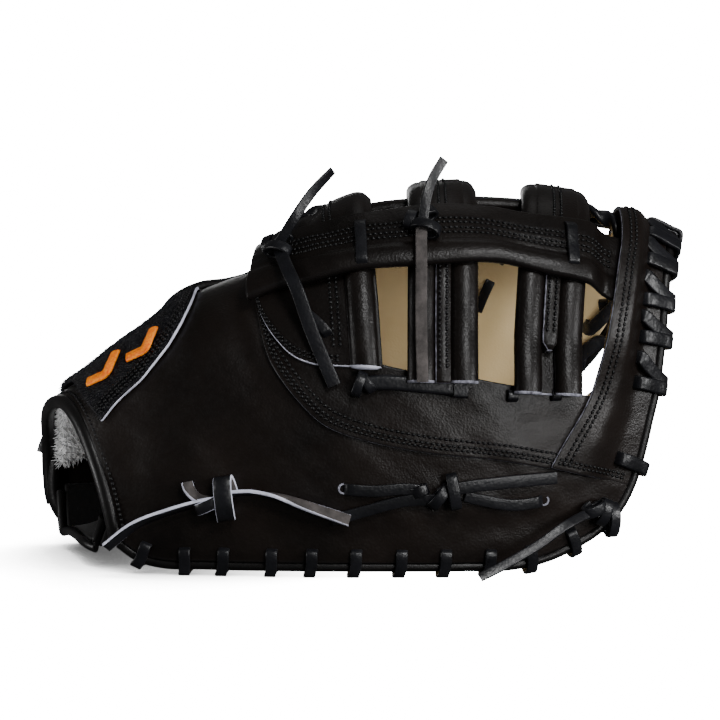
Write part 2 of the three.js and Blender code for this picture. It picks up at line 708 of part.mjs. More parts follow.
function knotAt(along, up, out, size) {
  const centre = nearPlace(along, up, out);
  const ball = new THREE.IcosahedronGeometry(size, 1);
  const side = new THREE.Vector3(0, 0, 1).cross(centre.normal).normalize();
  const rise = centre.normal.clone().cross(side).normalize();
  const squash = new THREE.Matrix4().makeBasis(side, rise, centre.normal)
    .multiply(new THREE.Matrix4().makeScale(1, 1.15, 0.55)).setPosition(centre.point);
  return solidOf(ball.applyMatrix4(squash));
}

// Free tails leave a knot and follow rows of [along, up, depth], depth a share of halfWidth.
function freeLace(start, rows, width) {
  const points = rows.map(([along, up, depth]) => new THREE.Vector3((along - 0.5) * mittLength,
    depth * halfWidth, up * crestHeight));
  const curve = new THREE.CatmullRomCurve3([start.point, ...points]);
  const stations = evenShares(2 * rows.length + 2, 0, 1).map((t) => ({ point: curve.getPointAt(t),
    normal: towardThumb }));
  return sweep(stations, flat(width, laceThick));
}

// Lays everything below the floor flat against it, where the lacing carries the mitt.
function restFlat(solid) {
  const below = new THREE.BoxGeometry(2 * mittLength, 4 * halfWidth, 20).translate(0, 0, -10);
  return solid.subtract(solidOf(below));
}

const towardThumb = new THREE.Vector3(0, -1, 0.25).normalize();

function makeRailKnotLeft() {
  const knot = [0.392, 0.832, overWebBase + railThick + 5.6];
  const up = freeLace(nearPlace(...knot), [[0.396, 0.975, -0.6], [0.421, 1.04, -0.56],
    [0.453, 1.102, -0.52]], tailWidth - 2);
  const down = laceOver([[0.394, 0.825, 14], [0.411, 0.75, 17], [0.426, 0.657, 11],
    [0.456, 0.524, 6]], tailWidth, 0);
  return knotAt(...knot, 7.5).add(up).add(down);
}

function makeRailKnotMiddle() {
  const knot = [0.589, 0.897, overRail + 4];
  const up = freeLace(nearPlace(...knot), [[0.594, 1.035, -0.74], [0.604, 1.085, -0.7],
    [0.62, 1.133, -0.66]], tailWidth - 1.5);
  const down = laceOver([[0.587, 0.89, 18.4], [0.585, 0.815, 19.2], [0.584, 0.734, 15],
    [0.584, 0.64, 10], [0.584, 0.552, 7.5]], tailWidth - 1, 0);
  return knotAt(...knot, 7.5).add(up).add(down);
}

function makeRailLace(along) {
  return laceOver([[along, 0.822, 1.9], [along, 0.86, 1], [along, 0.905, 0.8]], laceWidth, overRail);
}

function makeFootLace() {
  return laceOver([[0.5, 0.528, 0.3], [0.535, 0.529, 0.3], [0.583, 0.522, 0.3],
    [0.652, 0.512, 0.3]], 8, overCollar).add(knotAt(0.5, 0.531, overCollar + 3.2, 5.2));
}

function makeRimKnot() {
  const knot = [0.85, 0.166, laceFront + laceThick + 3];
  const tail = freeLace(nearPlace(...knot), [[0.8, 0.155, -0.93], [0.757, 0.105, -1.0],
    [0.7, 0.045, -1.09], [0.671, 0.022, -1.13]], tailWidth - 1);
  return knotAt(...knot, 7).add(tail);
}

function makeThumbLaceLeft() {
  const left = laceOver([[0.295, 0.21, 0.6], [0.24, 0.19, 0.4], [0.19, 0.145, 3.2],
    [0.15, 0.105, 5.5], [0.118, 0.075, 7]], laceWidth, overBack);
  const loop = laceOver([[0.295, 0.21, 0.6], [0.262, 0.232, 0.4], [0.235, 0.243, 0.4]],
    laceWidth, overBack);
  const right = laceOver([[0.295, 0.21, 0.6], [0.34, 0.215, 0.4], [0.41, 0.19, 0.4],
    [0.479, 0.166, 0.4]], laceWidth, overBack);
  return knotAt(0.295, 0.21, overBack + 4.6, 8).add(left).add(loop).add(right);
}

function makeThumbLaceMiddle() {
  const runs = [
    [[0.624, 0.236, 0.6], [0.56, 0.243, 0.4], [0.473, 0.25, 0.4]],
    [[0.624, 0.236, 0.6], [0.55, 0.212, 0.4], [0.487, 0.196, 0.4]],
    [[0.624, 0.236, 0.6], [0.715, 0.212, 0.4], [0.765, 0.215, 0.4]],
    [[0.624, 0.236, 0.6], [0.68, 0.258, 1.5], [0.735, 0.27, 3], [0.782, 0.275, 4.5]],
  ];
  return runs.reduce((whole, rows) => whole.add(laceOver(rows, laceWidth, overBack)),
    knotAt(0.624, 0.236, overBack + 4.6, 8));
}

const pieces = [];

function add(name, solid, finish) {
  pieces.push({ name, solid, finish });
}

// Finishes. Columns: colour, roughness
const blackLeather = { color: 0x16161a, roughness: 0.45 };
const blackLace = { color: 0x1a1c26, roughness: 0.5 };
const tanLeather = { color: 0xb9a47c, roughness: 0.6 };
const hairOnHide = { color: 0x0e0e10, roughness: 0.8 };
const shearling = { color: 0x9a9a9c, roughness: 0.95 };
const satinThread = { color: 0xf08c14, roughness: 0.4 };

const punches = [...rimPunches(thumbRimRows, thumbHoles), ...rimPunches(tipRows, tipHoles),
  ...rimPunches(fingerRimRows, fingerHoles)];
const punched = (solid) => punches.reduce((rest, punch) => rest.subtract(punch), solid);

add('palm', punched(makePalm()), tanLeather);
add('thumb_back', punched(makeThumbBack()), blackLeather);
add('finger_back', punched(makeFingerBack()), blackLeather);
add('thumb_collar', makeThumbCollar(), blackLeather);
add('finger_band', makeFingerBand(), blackLeather);
add('web_base', makeWebBase(), blackLeather);
add('web_strip_middle', makeWebStrip(0.614, 0.621, 0.622), blackLeather);
add('web_strip_right', makeWebStrip(0.758, 0.793, 0.8), blackLeather);
add('web_core', makeWebCore(), blackLeather);
add('web_rail', makeWebRail(), blackLeather);
add('tip_panel', punched(makeTipPanel()), blackLeather);
add('wrist_strap', makeWristStrap(), hairOnHide);
add('wrist_lining', makeWristLining(), shearling);
add('wrist_binding', makeWristBinding(), blackLeather);
add('heel_binding', makeHeelBinding(), blackLeather);
add('rim_welt', makeRimWelt(), blackLeather);
add('rim_lace_thumb', restFlat(rimLace(thumbRimRows, thumbHoles, 0.97)), blackLace);
add('rim_lace_tip', rimLace(tipRows, tipHoles, 1), blackLace);
add('rim_lace_finger', restFlat(rimLace(fingerRimRows, fingerHoles, 1)), blackLace);
add('rim_knot', makeRimKnot(), blackLace);
add('rail_knot_left', makeRailKnotLeft(), blackLace);
add('rail_knot_middle', makeRailKnotMiddle(), blackLace);
add('rail_lace_left', makeRailLace(0.502), blackLace);
add('rail_lace_right', makeRailLace(0.8), blackLace);
add('web_foot_lace', makeFootLace(), blackLace);
add('thumb_lace_left', makeThumbLaceLeft(), blackLace);
add('thumb_lace_middle', makeThumbLaceMiddle(), blackLace);
chevronShifts.forEach((shift, k) => {
  add(`strap_chevron_${k + 1}`, makeStrapChevron(shift), satinThread);
});

const mitt = new THREE.Group();

pieces.forEach(({ name, solid, finish }) => {
  const result = solid.getMesh();
  const geometry = new THREE.BufferGeometry();
  geometry.setAttribute('position', new THREE.Float32BufferAttribute(result.vertProperties, 3));
  geometry.setIndex(Array.from(result.triVerts));
  geometry.computeVertexNormals();
  const mesh = new THREE.Mesh(geometry, new THREE.MeshStandardMaterial({ ...finish, metalness: 0 }));
  mesh.name = name;
  mitt.add(mesh);
});

// The origin is under the middle of the mitt, on the floor.
const box = new THREE.Box3().setFromObject(mitt);
mitt.position.set(-(box.min.x + box.max.x) / 2, -(box.min.y + box.max.y) / 2, -box.min.z);

export default mitt;
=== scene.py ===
import bmesh
import bpy
import math
import numpy as np
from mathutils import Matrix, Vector


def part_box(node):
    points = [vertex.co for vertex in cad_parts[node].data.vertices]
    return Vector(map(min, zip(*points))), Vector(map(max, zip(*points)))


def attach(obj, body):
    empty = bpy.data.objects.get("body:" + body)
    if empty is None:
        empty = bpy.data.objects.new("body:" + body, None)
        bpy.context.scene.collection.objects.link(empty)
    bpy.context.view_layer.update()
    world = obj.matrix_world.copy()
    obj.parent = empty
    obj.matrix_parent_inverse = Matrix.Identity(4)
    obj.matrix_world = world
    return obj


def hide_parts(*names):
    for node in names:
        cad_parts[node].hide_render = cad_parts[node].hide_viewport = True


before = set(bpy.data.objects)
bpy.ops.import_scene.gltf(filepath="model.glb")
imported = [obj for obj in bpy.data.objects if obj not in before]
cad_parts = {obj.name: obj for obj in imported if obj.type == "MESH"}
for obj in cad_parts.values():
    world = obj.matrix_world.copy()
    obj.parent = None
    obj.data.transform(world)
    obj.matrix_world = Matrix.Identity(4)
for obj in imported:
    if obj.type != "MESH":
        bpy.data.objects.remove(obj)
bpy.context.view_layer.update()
print("frame loaded")

# The mitt's base skin, metres. x runs from the wrist to the tips, v from 0 at the thumb's floor
# over 1 at the crest to 2 at the finger's floor.
skin = {"length": 0.333, "crest": 0.1845, "half": 0.078, "fullness": 0.22, "palmFullness": 0.35,
        "tuck": 0.14, "tuckHeight": 0.4, "archSpan": 0.15}
probe = {"x": 0.0005, "v": 0.004}
leather = 0.0022
seat = 0.0003
near = -1
far = 1

# along, crest, thumb, finger, palm
formRows = np.array([
    (-0.05, 0.34, 0.44, 0.58, 0.05), (0.0, 0.412, 0.50, 0.66, 0.055),
    (0.02, 0.445, 0.53, 0.69, 0.06), (0.068, 0.505, 0.60, 0.75, 0.075),
    (0.107, 0.56, 0.66, 0.80, 0.11), (0.15, 0.615, 0.72, 0.84, 0.17),
    (0.192, 0.67, 0.77, 0.88, 0.25), (0.24, 0.742, 0.81, 0.92, 0.35),
    (0.32, 0.803, 0.86, 0.98, 0.53), (0.41, 0.905, 0.91, 1.03, 0.80),
    (0.50, 0.977, 0.93, 1.06, 0.91), (0.626, 1.0, 0.92, 1.04, 0.93),
    (0.71, 0.998, 0.88, 0.98, 0.93), (0.79, 0.984, 0.80, 0.88, 0.92),
    (0.86, 0.96, 0.68, 0.74, 0.90), (0.92, 0.94, 0.56, 0.60, 0.88),
    (0.966, 0.918, 0.46, 0.48, 0.86), (1.03, 0.89, 0.35, 0.37, 0.83),
])
formColumn = {"crest": 1, "thumb": 2, "finger": 3, "palm": 4}

# Layers, as distances out from the base of the back leather
overBack = leather + seat
overCollar = overBack + leather + seat
overWebBase = overCollar + leather + seat
strip = {"width": 0.0335, "curlWide": 0.0062, "curl": 0.004, "leather": 0.0018, "proud": 0.002,
         "overFoot": 0.0048, "footReach": 0.03, "farUp": 0.79, "settle": 4.5, "flatTop": 0.86}
rail = {"thick": 0.0034, "roll": 0.0024, "rollAt": 0.12, "rollHalf": 0.17, "groove": 0.0003,
        "grooves": (0.46, 0.64), "grooveWide": 0.05, "start": 0.08, "startSlope": 6, "end": 0.898,
        "endSlope": 14.5, "endThinner": 0.4, "seams": (0.42, 0.5, 0.6, 0.68)}
overStrips = strip["proud"] + 2 * strip["curl"] + strip["leather"] / 2 + seat
overRail = overStrips + rail["thick"] + seat
drape = 0.0015
lace = {"width": 0.0057, "thick": 0.0017, "inset": 0.006, "corner": 0.0006}
welt = {"radius": 0.0026, "down": 0.0032}
palm = {"thick": 0.0042, "edge": 0.0025, "edgeSlope": 12, "seat": 0.0013, "flange": 0.019,
        "stall": 0.006, "rimRise": 0.0085, "blend": 0.038}


def smooth(value):
    t = np.clip(value, 0, 1)
    return t * t * (3 - 2 * t)


def unit(vectors):
    return vectors / np.maximum(np.linalg.norm(vectors, axis=-1, keepdims=True), 1e-12)


# Places are given as shares: along the skin's length, and up to the crest's height
def toX(along):
    return (along - 0.5) * skin["length"]


def toAlong(x):
    return x / skin["length"] + 0.5


def toZ(up):
    return up * skin["crest"]


def readForm(name, along):
    xs = formRows[:, 0]
    ys = formRows[:, formColumn[name]]
    last = len(xs) - 1
    at = np.clip(along, xs[0], xs[-1])
    i = np.clip(np.searchsorted(xs, at, side="right") - 1, 0, last - 1)

    def slope(k):
        a = np.maximum(k - 1, 0)
        b = np.minimum(k + 1, last)
        return (ys[b] - ys[a]) / (xs[b] - xs[a])

    span = xs[i + 1] - xs[i]
    t = (at - xs[i]) / span
    return ((2 * t**3 - 3 * t**2 + 1) * ys[i] + (t**3 - 2 * t**2 + t) * span * slope(i)
            + (-2 * t**3 + 3 * t**2) * ys[i + 1] + (t**3 - t**2) * span * slope(i + 1))


def archPoint(x, v, crest, thumb, finger, fullness):
    sine = np.sin(v * math.pi / 2)
    cosine = np.cos(v * math.pi / 2)
    z = crest * sine * (1 + fullness * cosine**2)
    low = np.maximum(0, 1 - z / (skin["tuckHeight"] * skin["crest"]))
    width = np.where(v <= 1, thumb, finger) * (1 + fullness * sine**2) * (1 - skin["tuck"] * low**2)
    return np.stack([x + 0 * z, -width * cosine, z], axis=-1)


def backSkin(x, v):
    along = toAlong(x)
    return archPoint(x, v, readForm("crest", along) * skin["crest"],
                     readForm("thumb", along) * skin["half"],
                     readForm("finger", along) * skin["half"], skin["fullness"])


def offset(surface, x, v, out):
    x = np.asarray(x, float)
    v = np.asarray(v, float)
    du = surface(x + probe["x"], v) - surface(x - probe["x"], v)
    dv = surface(x, v + probe["v"]) - surface(x, v - probe["v"])
    normal = unit(np.cross(du, dv))
    return surface(x, v) + normal * np.asarray(out)[..., None], normal


def archShare(x, z, side):
    crest = float(readForm("crest", toAlong(x))) * skin["crest"]
    low, high = 0.0, 1.0
    for _ in range(30):
        middle = (low + high) / 2
        sine = math.sin(middle * math.pi / 2)
        cosine = math.cos(middle * math.pi / 2)
        if crest * sine * (1 + skin["fullness"] * cosine**2) < z:
            low = middle
        else:
            high = middle
    return low if side < 0 else 2 - low


def splineThrough(points):
    points = np.asarray(points, float)
    padded = np.vstack([2 * points[0] - points[1], points, 2 * points[-1] - points[-2]])

    def at(t):
        p = np.clip(np.asarray(t, float), 0, 1) * (len(points) - 1)
        i = np.minimum(p.astype(int), len(points) - 2)
        w = (p - i)[..., None]
        p0, p1, p2, p3 = padded[i], padded[i + 1], padded[i + 2], padded[i + 3]
        root = [np.sqrt(np.linalg.norm(b - a, axis=-1))[..., None] + 1e-9
                for a, b in ((p0, p1), (p1, p2), (p2, p3))]
        m1 = ((p1 - p0) / root[0] - (p2 - p0) / (root[0] + root[1]) + (p2 - p1) / root[1]) * root[1]
        m2 = ((p2 - p1) / root[1] - (p3 - p1) / (root[1] + root[2]) + (p3 - p2) / root[2]) * root[1]
        return ((2 * w**3 - 3 * w**2 + 1) * p1 + (w**3 - 2 * w**2 + w) * m1
                + (-2 * w**3 + 3 * w**2) * p2 + (w**3 - w**2) * m2)

    return at


def evenly(curve, divisions=400):
    steps = np.linspace(0, 1, divisions + 1)
    points = curve(steps)
    run = np.concatenate([[0], np.cumsum(np.linalg.norm(np.diff(points, axis=0), axis=1))])
    return lambda t: curve(np.interp(np.clip(t, 0, 1), run / run[-1], steps))


def border(rows):
    points = []
    for along, up, side in rows:
        x = toX(along)
        points.append((x, archShare(x, toZ(up), side) * skin["archSpan"]))
    curve = evenly(splineThrough(points))

    def line(t):
        at = curve(t)
        return at[..., 0], at[..., 1] / skin["archSpan"]

    return line


# A border's points, each along and up, on the thumb's or the finger's side
def onThumb(*places):
    return [(along, up, near) for along, up in places]


def onFinger(*places):
    return [(along, up, far) for along, up in places]


def placeOn(along, up, side, out):
    x = toX(along)
    return offset(backSkin, x, archShare(x, toZ(up), side), out)


# Borders of the whole mitt
rimUp = palm["rimRise"] / skin["crest"]
thumbRim = onThumb((0.133, 0.096), (0.161, 0.062), (0.199, 0.046), (0.26, rimUp), (0.48, rimUp),
                   (0.66, rimUp), (0.715, 0.046), (0.768, 0.063), (0.817, 0.1), (0.856, 0.143),
                   (0.88, 0.188), (0.897, 0.243))
thumbTip = onThumb((0.897, 0.243), (0.907, 0.295), (0.915, 0.345), (0.925, 0.42), (0.935, 0.495),
                   (0.946, 0.65), (0.95, 0.738), (0.955, 0.82), (0.962, 0.885), (0.969, 1))
fingerTip = onFinger((0.969, 1), (0.96, 0.885), (0.946, 0.82), (0.925, 0.76), (0.908, 0.71),
                     (0.886, 0.63), (0.862, 0.565), (0.835, 0.5), (0.815, 0.4), (0.8, 0.3))
fingerRim = onFinger((0.8, 0.3), (0.78, 0.2), (0.75, 0.12), (0.705, 0.065), (0.65, rimUp),
                     (0.4, rimUp), (0.16, rimUp), (0.07, rimUp), (0.035, 0.055), (0.014, 0.1))
wristThumb = onThumb((0.133, 0.096), (0.126, 0.159), (0.116, 0.232), (0.096, 0.338), (0.083, 0.389),
                     (0.065, 0.437), (0.044, 0.461), (0.022, 1))
wristFinger = onFinger((0.022, 1), (0.006, 0.4), (0.002, 0.31), (0.001, 0.22), (0.004, 0.15),
                       (0.014, 0.1))
wristPalm = (onThumb((0.133, 0.096), (0.12, 0.2), (0.085, 0.4), (0.058, 1))
             + onFinger((0.034, 0.4), (0.017, 0.2), (0.014, 0.1)))
tipRim = thumbTip + fingerTip[1:]

tipLines = {}
for side, rows in ((near, thumbTip), (far, fingerTip)):
    tipX, tipV = border(rows)(np.linspace(0, 1, 60))
    order = np.argsort(tipV)
    tipLines[side] = (tipV[order], tipX[order])


def palmSkin(x, v):
    along = toAlong(x)
    inset = (1 - skin["tuck"]) * skin["half"]
    arch = archPoint(x, v, readForm("palm", along) * skin["crest"],
                     readForm("thumb", along) * inset - palm["stall"],
                     readForm("finger", along) * inset - palm["stall"], skin["palmFullness"])
    edge, _ = offset(backSkin, x, v, -palm["seat"] - palm["edge"] / 2 + 0 * np.asarray(v))
    reach = np.where(v < 1, np.interp(v, *tipLines[near]), np.interp(v, *tipLines[far]))
    rise = smooth((edge[..., 2] - palm["rimRise"] - palm["flange"]) / palm["blend"])
    tip = smooth((reach - x - palm["flange"]) / palm["blend"])
    inward = (rise * tip)[..., None]
    return edge * (1 - inward) + arch * inward


# A panel between four borders: u along, s up
def panelPlaces(spec):
    low = border(spec["lower"])
    high = border(spec["upper"])
    left = border(spec["left"]) if "left" in spec else None
    right = border(spec["right"]) if "right" in spec else None
    least, most = spec.get("limit", (0, 2))

    def places(u, s):
        u = np.asarray(u, float)
        s = np.asarray(s, float)
        lowX, lowV = low(u)
        highX, highV = high(u)
        x = lowX + (highX - lowX) * s
        v = lowV + (highV - lowV) * s
        for line, end in ((left, 0.0), (right, 1.0)):
            if line is None:
                continue
            weight = u if end else 1 - u
            sideX, sideV = line(s)
            aX, aV = low(np.array(end))
            bX, bV = high(np.array(end))
            x = x + weight * (sideX - (aX + (bX - aX) * s))
            v = v + weight * (sideV - (aV + (bV - aV) * s))
        return x, np.clip(v, least, most)

    return places


# Soft relief of worn leather, the same for every layer over one place
relief = {"broad": 0.0009, "broadWave": 0.045, "fine": 0.0003, "fineWave": 0.013, "seed": 7,
          "calmRim": 0.03}
# Folds: from (along, up) to (along, up), depth and half width in metres, thumb side
folds = [
    ((0.30, 0.78), (0.345, 0.52), 0.0016, 0.008), ((0.25, 0.40), (0.33, 0.26), 0.0011, 0.009),
    ((0.36, 0.33), (0.46, 0.25), 0.0010, 0.010), ((0.55, 0.30), (0.74, 0.27), 0.0008, 0.009),
    ((0.14, 0.40), (0.16, 0.20), 0.0012, 0.009), ((0.22, 0.14), (0.52, 0.11), 0.0010, 0.008),
    ((0.60, 0.12), (0.80, 0.17), 0.0011, 0.008), ((0.40, 0.56), (0.52, 0.50), 0.0006, 0.006),
    ((0.70, 0.45), (0.80, 0.40), 0.0006, 0.007),
]


def ripple(points, wave, seed):
    pick = np.random.default_rng(seed)
    total = 0
    for _ in range(6):
        way = unit(pick.normal(size=3))
        total = total + np.sin(points @ way * (2 * math.pi / (wave * pick.uniform(0.7, 1.6)))
                               + pick.uniform(0, 2 * math.pi))
    return total / 6


def leatherRelief(base):
    out = (relief["broad"] * ripple(base, relief["broadWave"], relief["seed"])
           + relief["fine"] * ripple(base, relief["fineWave"], relief["seed"] + 1))
    for a, b, depth, width in folds:
        start = np.array([toX(a[0]), toZ(a[1])])
        end = np.array([toX(b[0]), toZ(b[1])])
        flat = base[..., [0, 2]]
        t = np.clip(((flat - start) @ (end - start)) / ((end - start) @ (end - start)), 0, 1)
        away = np.linalg.norm(flat - (start + t[..., None] * (end - start)), axis=-1)
        out = out - depth * np.exp(-(away / width) ** 2) * np.sin(math.pi * (0.08 + 0.84 * t))  # soft ends
    return out


def panelPoints(spec, u, s, out, soft=1.0):
    x, v = spec["places"](u, s)
    surface = spec.get("surface", backSkin)
    lift = out + 0 * x
    if soft:
        rimFade = smooth(surface(x, v)[..., 2] / relief["calmRim"])
        lift = lift + soft * rimFade * leatherRelief(backSkin(x, v))
    return offset(surface, x, v, lift)


def prepare(spec):
    return {**spec, "places": panelPlaces(spec)}


# The part's place in the frame, worked out from one of its panels
fingerBand = prepare({
    "lower": onFinger((0.4, 0.72), (0.5, 0.755), (0.62, 0.77), (0.75, 0.76), (0.86, 0.71)),
    "upper": onFinger((0.4, 0.81), (0.5, 0.85), (0.62, 0.865), (0.75, 0.855), (0.86, 0.8)),
})
bandU, bandS = np.meshgrid(np.linspace(0, 1, 13), np.linspace(0, 1, 3), indexing="ij")
bandPoints = np.concatenate([panelPoints(fingerBand, bandU, bandS, out, 0)[0].reshape(-1, 3)
                             for out in (overBack, overBack + leather)])
shift = np.array(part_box("finger_band")[0]) - bandPoints.min(axis=0)
print("skin shift", shift)


# Node trees: add makes a node with its settings and its inputs, each a value or another's socket
def setInputs(node, inputs):
    for key, value in inputs.items():
        if isinstance(value, bpy.types.NodeSocket):
            node.id_data.links.new(value, node.inputs[key])
        else:
            node.inputs[key].default_value = value


def addTo(tree):
    def add(kind, inputs=(), **settings):
        node = tree.nodes.new(kind)
        for key, value in settings.items():
            setattr(node, key, value)
        setInputs(node, dict(inputs))
        return node.outputs

    return add


def reckon(add, operation, *values):
    return add("ShaderNodeMath", dict(enumerate(values)), operation=operation)["Value"]


# Materials
def newMaterial(name):
    material = bpy.data.materials.new(name)
    material.use_nodes = True
    return material, addTo(material.node_tree), material.node_tree.nodes["Principled BSDF"]


def noiseColour(add, noise, ends, dark, light):
    fac = add("ShaderNodeTexNoise", noise)["Fac"]
    colour = add("ShaderNodeValToRGB", {"Fac": fac})["Color"]
    for element, end, tone in zip(colour.node.color_ramp.elements, ends, (dark, light)):
        element.position = end
        element.color = (*tone, 1)
    return colour


def mixColour(add, factor, colour, other):
    return add("ShaderNodeMix", {"Factor": factor, "A": colour, "B": (*other, 1)},
               data_type="RGBA")["Result"]


# Mottled leather: cells and pores as bump, and a rim colour along the sheet edges that the mesh marks:
# partly edge wear, and on the black leathers partly a painted highlight
def makeLeather(name, dark, light, rough, grain, grainDepth, sheen=0.0, specular=0.5, rim=None,
                mottle=14):
    material, add, shader = newMaterial(name)
    place = add("ShaderNodeTexCoord")["Object"]
    colour = noiseColour(add, {"Vector": place, "Scale": mottle, "Detail": 6, "Roughness": 0.6},
                         (0.32, 0.72), dark, light)
    if rim:
        colour = mixColour(add, add("ShaderNodeAttribute", attribute_name="rim")["Fac"], colour, rim)
    cells = add("ShaderNodeTexVoronoi", {"Vector": place, "Scale": grain}, feature="F1")["Distance"]
    pores = add("ShaderNodeTexNoise", {"Vector": place, "Scale": grain * 0.35, "Detail": 8})["Fac"]
    soft = add("ShaderNodeBump", {"Height": pores, "Strength": 0.5, "Distance": grainDepth * 1.6})
    fine = add("ShaderNodeBump", {"Height": cells, "Strength": 0.55, "Distance": grainDepth,
                                  "Normal": soft["Normal"]})
    spread = add("ShaderNodeMapRange", {"Value": pores, "To Min": rough - 0.07,
                                        "To Max": rough + 0.09})
    setInputs(shader, {"Base Color": colour, "Roughness": spread["Result"],
                       "Normal": fine["Normal"], "Specular IOR Level": specular,
                       "Sheen Weight": sheen, "Sheen Roughness": 0.4})
    return material


# rim is the edge colour: wear, and on the black leathers a lighter painted highlight
blackLeather = makeLeather("blackLeather", (0.0024, 0.0017, 0.0014), (0.0092, 0.0064, 0.0052), 0.36,
                           950, 0.00016, specular=0.2, rim=(0.012, 0.011, 0.011))
webLeather = makeLeather("webLeather", (0.0022, 0.0017, 0.0015), (0.0074, 0.0055, 0.0047), 0.35,
                         950, 0.00016, specular=0.18, rim=(0.007, 0.006, 0.006))
weltLeather = makeLeather("weltLeather", (0.002, 0.0018, 0.0018), (0.0066, 0.006, 0.006), 0.36,
                          1100, 0.0001, specular=0.2)
tanLeather = makeLeather("tanLeather", (0.66, 0.49, 0.25), (0.75, 0.58, 0.32), 0.6,
                         900, 0.0001, sheen=0.05, specular=0.3, rim=(0.6, 0.46, 0.28), mottle=22)
laceLeather = makeLeather("laceLeather", (0.0024, 0.0025, 0.0033), (0.008, 0.0082, 0.0102), 0.34,
                          700, 0.00016, specular=0.3, mottle=60)
cutEdge = makeLeather("cutEdge", (0.42, 0.43, 0.52), (0.72, 0.72, 0.84), 0.75, 1600, 0.00018,
                      specular=0.25, mottle=160)
wornEdge = makeLeather("wornEdge", (0.05, 0.05, 0.06), (0.4, 0.4, 0.48), 0.75, 1600, 0.00018,
                       specular=0.2, mottle=280)
fleshSide = makeLeather("fleshSide", (0.03, 0.027, 0.026), (0.085, 0.075, 0.072), 0.8, 1500, 0.0002,
                        specular=0.2, mottle=160)
hideLeather = makeLeather("hideLeather", (0.0015, 0.0015, 0.002), (0.005, 0.005, 0.006), 0.5,
                          600, 0.0004, specular=0.2, mottle=40)
shearlingBack = makeLeather("shearlingBack", (0.6, 0.6, 0.6), (0.8, 0.8, 0.8), 0.95, 500,
                            0.0006, sheen=0.1, specular=0.1, mottle=70)

# The palm's heel is black up to a line that leans as it rises
heel = {"end": -0.098, "lean": 0.1, "black": (0.004, 0.0035, 0.0035)}


def blackenHeel(material):
    add = addTo(material.node_tree)
    shader = material.node_tree.nodes["Principled BSDF"]
    place = add("ShaderNodeSeparateXYZ", {"Vector": add("ShaderNodeTexCoord")["Object"]})
    edge = reckon(add, "MULTIPLY_ADD", place["Z"], heel["lean"], float(heel["end"] + shift[0]))
    behind = reckon(add, "LESS_THAN", place["X"], edge)
    tan = shader.inputs["Base Color"].links[0].from_socket
    setInputs(shader, {"Base Color": mixColour(add, behind, tan, heel["black"])})


blackenHeel(tanLeather)


def makeFibre(name, dark, light, rough, sheen, wave, specular=0.4):
    material, add, shader = newMaterial(name)
    place = add("ShaderNodeTexCoord")["Object"]
    colour = noiseColour(add, {"Vector": place, "Scale": wave, "Detail": 3}, (0.35, 0.7), dark, light)
    setInputs(shader, {"Base Color": colour, "Roughness": rough, "Sheen Weight": sheen,
                       "Specular IOR Level": specular})
    return material


blackThread = makeFibre("blackThread", (0.0008, 0.0008, 0.001), (0.003, 0.003, 0.0036), 0.42, 0.0, 900,
                        0.22)
wool = makeFibre("wool", (0.82, 0.82, 0.82), (0.96, 0.96, 0.96), 0.95, 0.2, 90, 0.1)
hideHair = makeFibre("hideHair", (0.0012, 0.0012, 0.002), (0.007, 0.0075, 0.011), 0.34, 0.0, 200, 0.35)
orangeThread = makeFibre("orangeThread", (0.85, 0.13, 0.0), (1.0, 0.36, 0.0), 0.4, 0.0, 900, 0.3)
print("materials made")


def linked(name, data):
    obj = bpy.data.objects.new(name, data)
    bpy.context.scene.collection.objects.link(obj)
    return obj


# Mesh helpers: every mesh is made in the skin's frame and shifted once into the part's
def meshObject(name, points, faces, materials, picks=None, rim=None):
    mesh = bpy.data.meshes.new(name)
    mesh.from_pydata((np.asarray(points).reshape(-1, 3) + shift).tolist(), [], faces)
    for material in materials:
        mesh.materials.append(material)
    if picks is not None:
        mesh.polygons.foreach_set("material_index", picks)
    mesh.polygons.foreach_set("use_smooth", [True] * len(mesh.polygons))
    if rim is not None:
        mesh.attributes.new("rim", "FLOAT", "POINT").data.foreach_set("value", rim)
    work = bmesh.new()
    work.from_mesh(mesh)
    if work.calc_volume(signed=True) < 0:
        bmesh.ops.reverse_faces(work, faces=work.faces)
        work.to_mesh(mesh)
    work.free()
    mesh.validate()
    return linked(name, mesh)


# Every piece rides on the one body and stands for its nodes
def dress(obj, slotName, *nodes):
    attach(obj, "root")
    if nodes:
        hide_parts(*nodes)
    return obj


def joinPieces(pieces):
    with bpy.context.temp_override(active_object=pieces[0], selected_editable_objects=pieces):
        if len(pieces) > 1:
            bpy.ops.object.join()
    return pieces[0]


# The edge of a sheet: steps round it, how far it swells, how strongly its rim colour (edge wear and
# painted highlight) shows, and its narrow first cell
sheetEdge = {"steps": 4, "swell": 0.32, "wearAndHighlight": 0.6, "cell": 0.3}


def gridLine(count):
    inner = np.linspace(0, 1, count + 1)
    narrow = sheetEdge["cell"] / count
    return np.concatenate([[0, narrow], inner[1:-1], [1 - narrow, 1]])


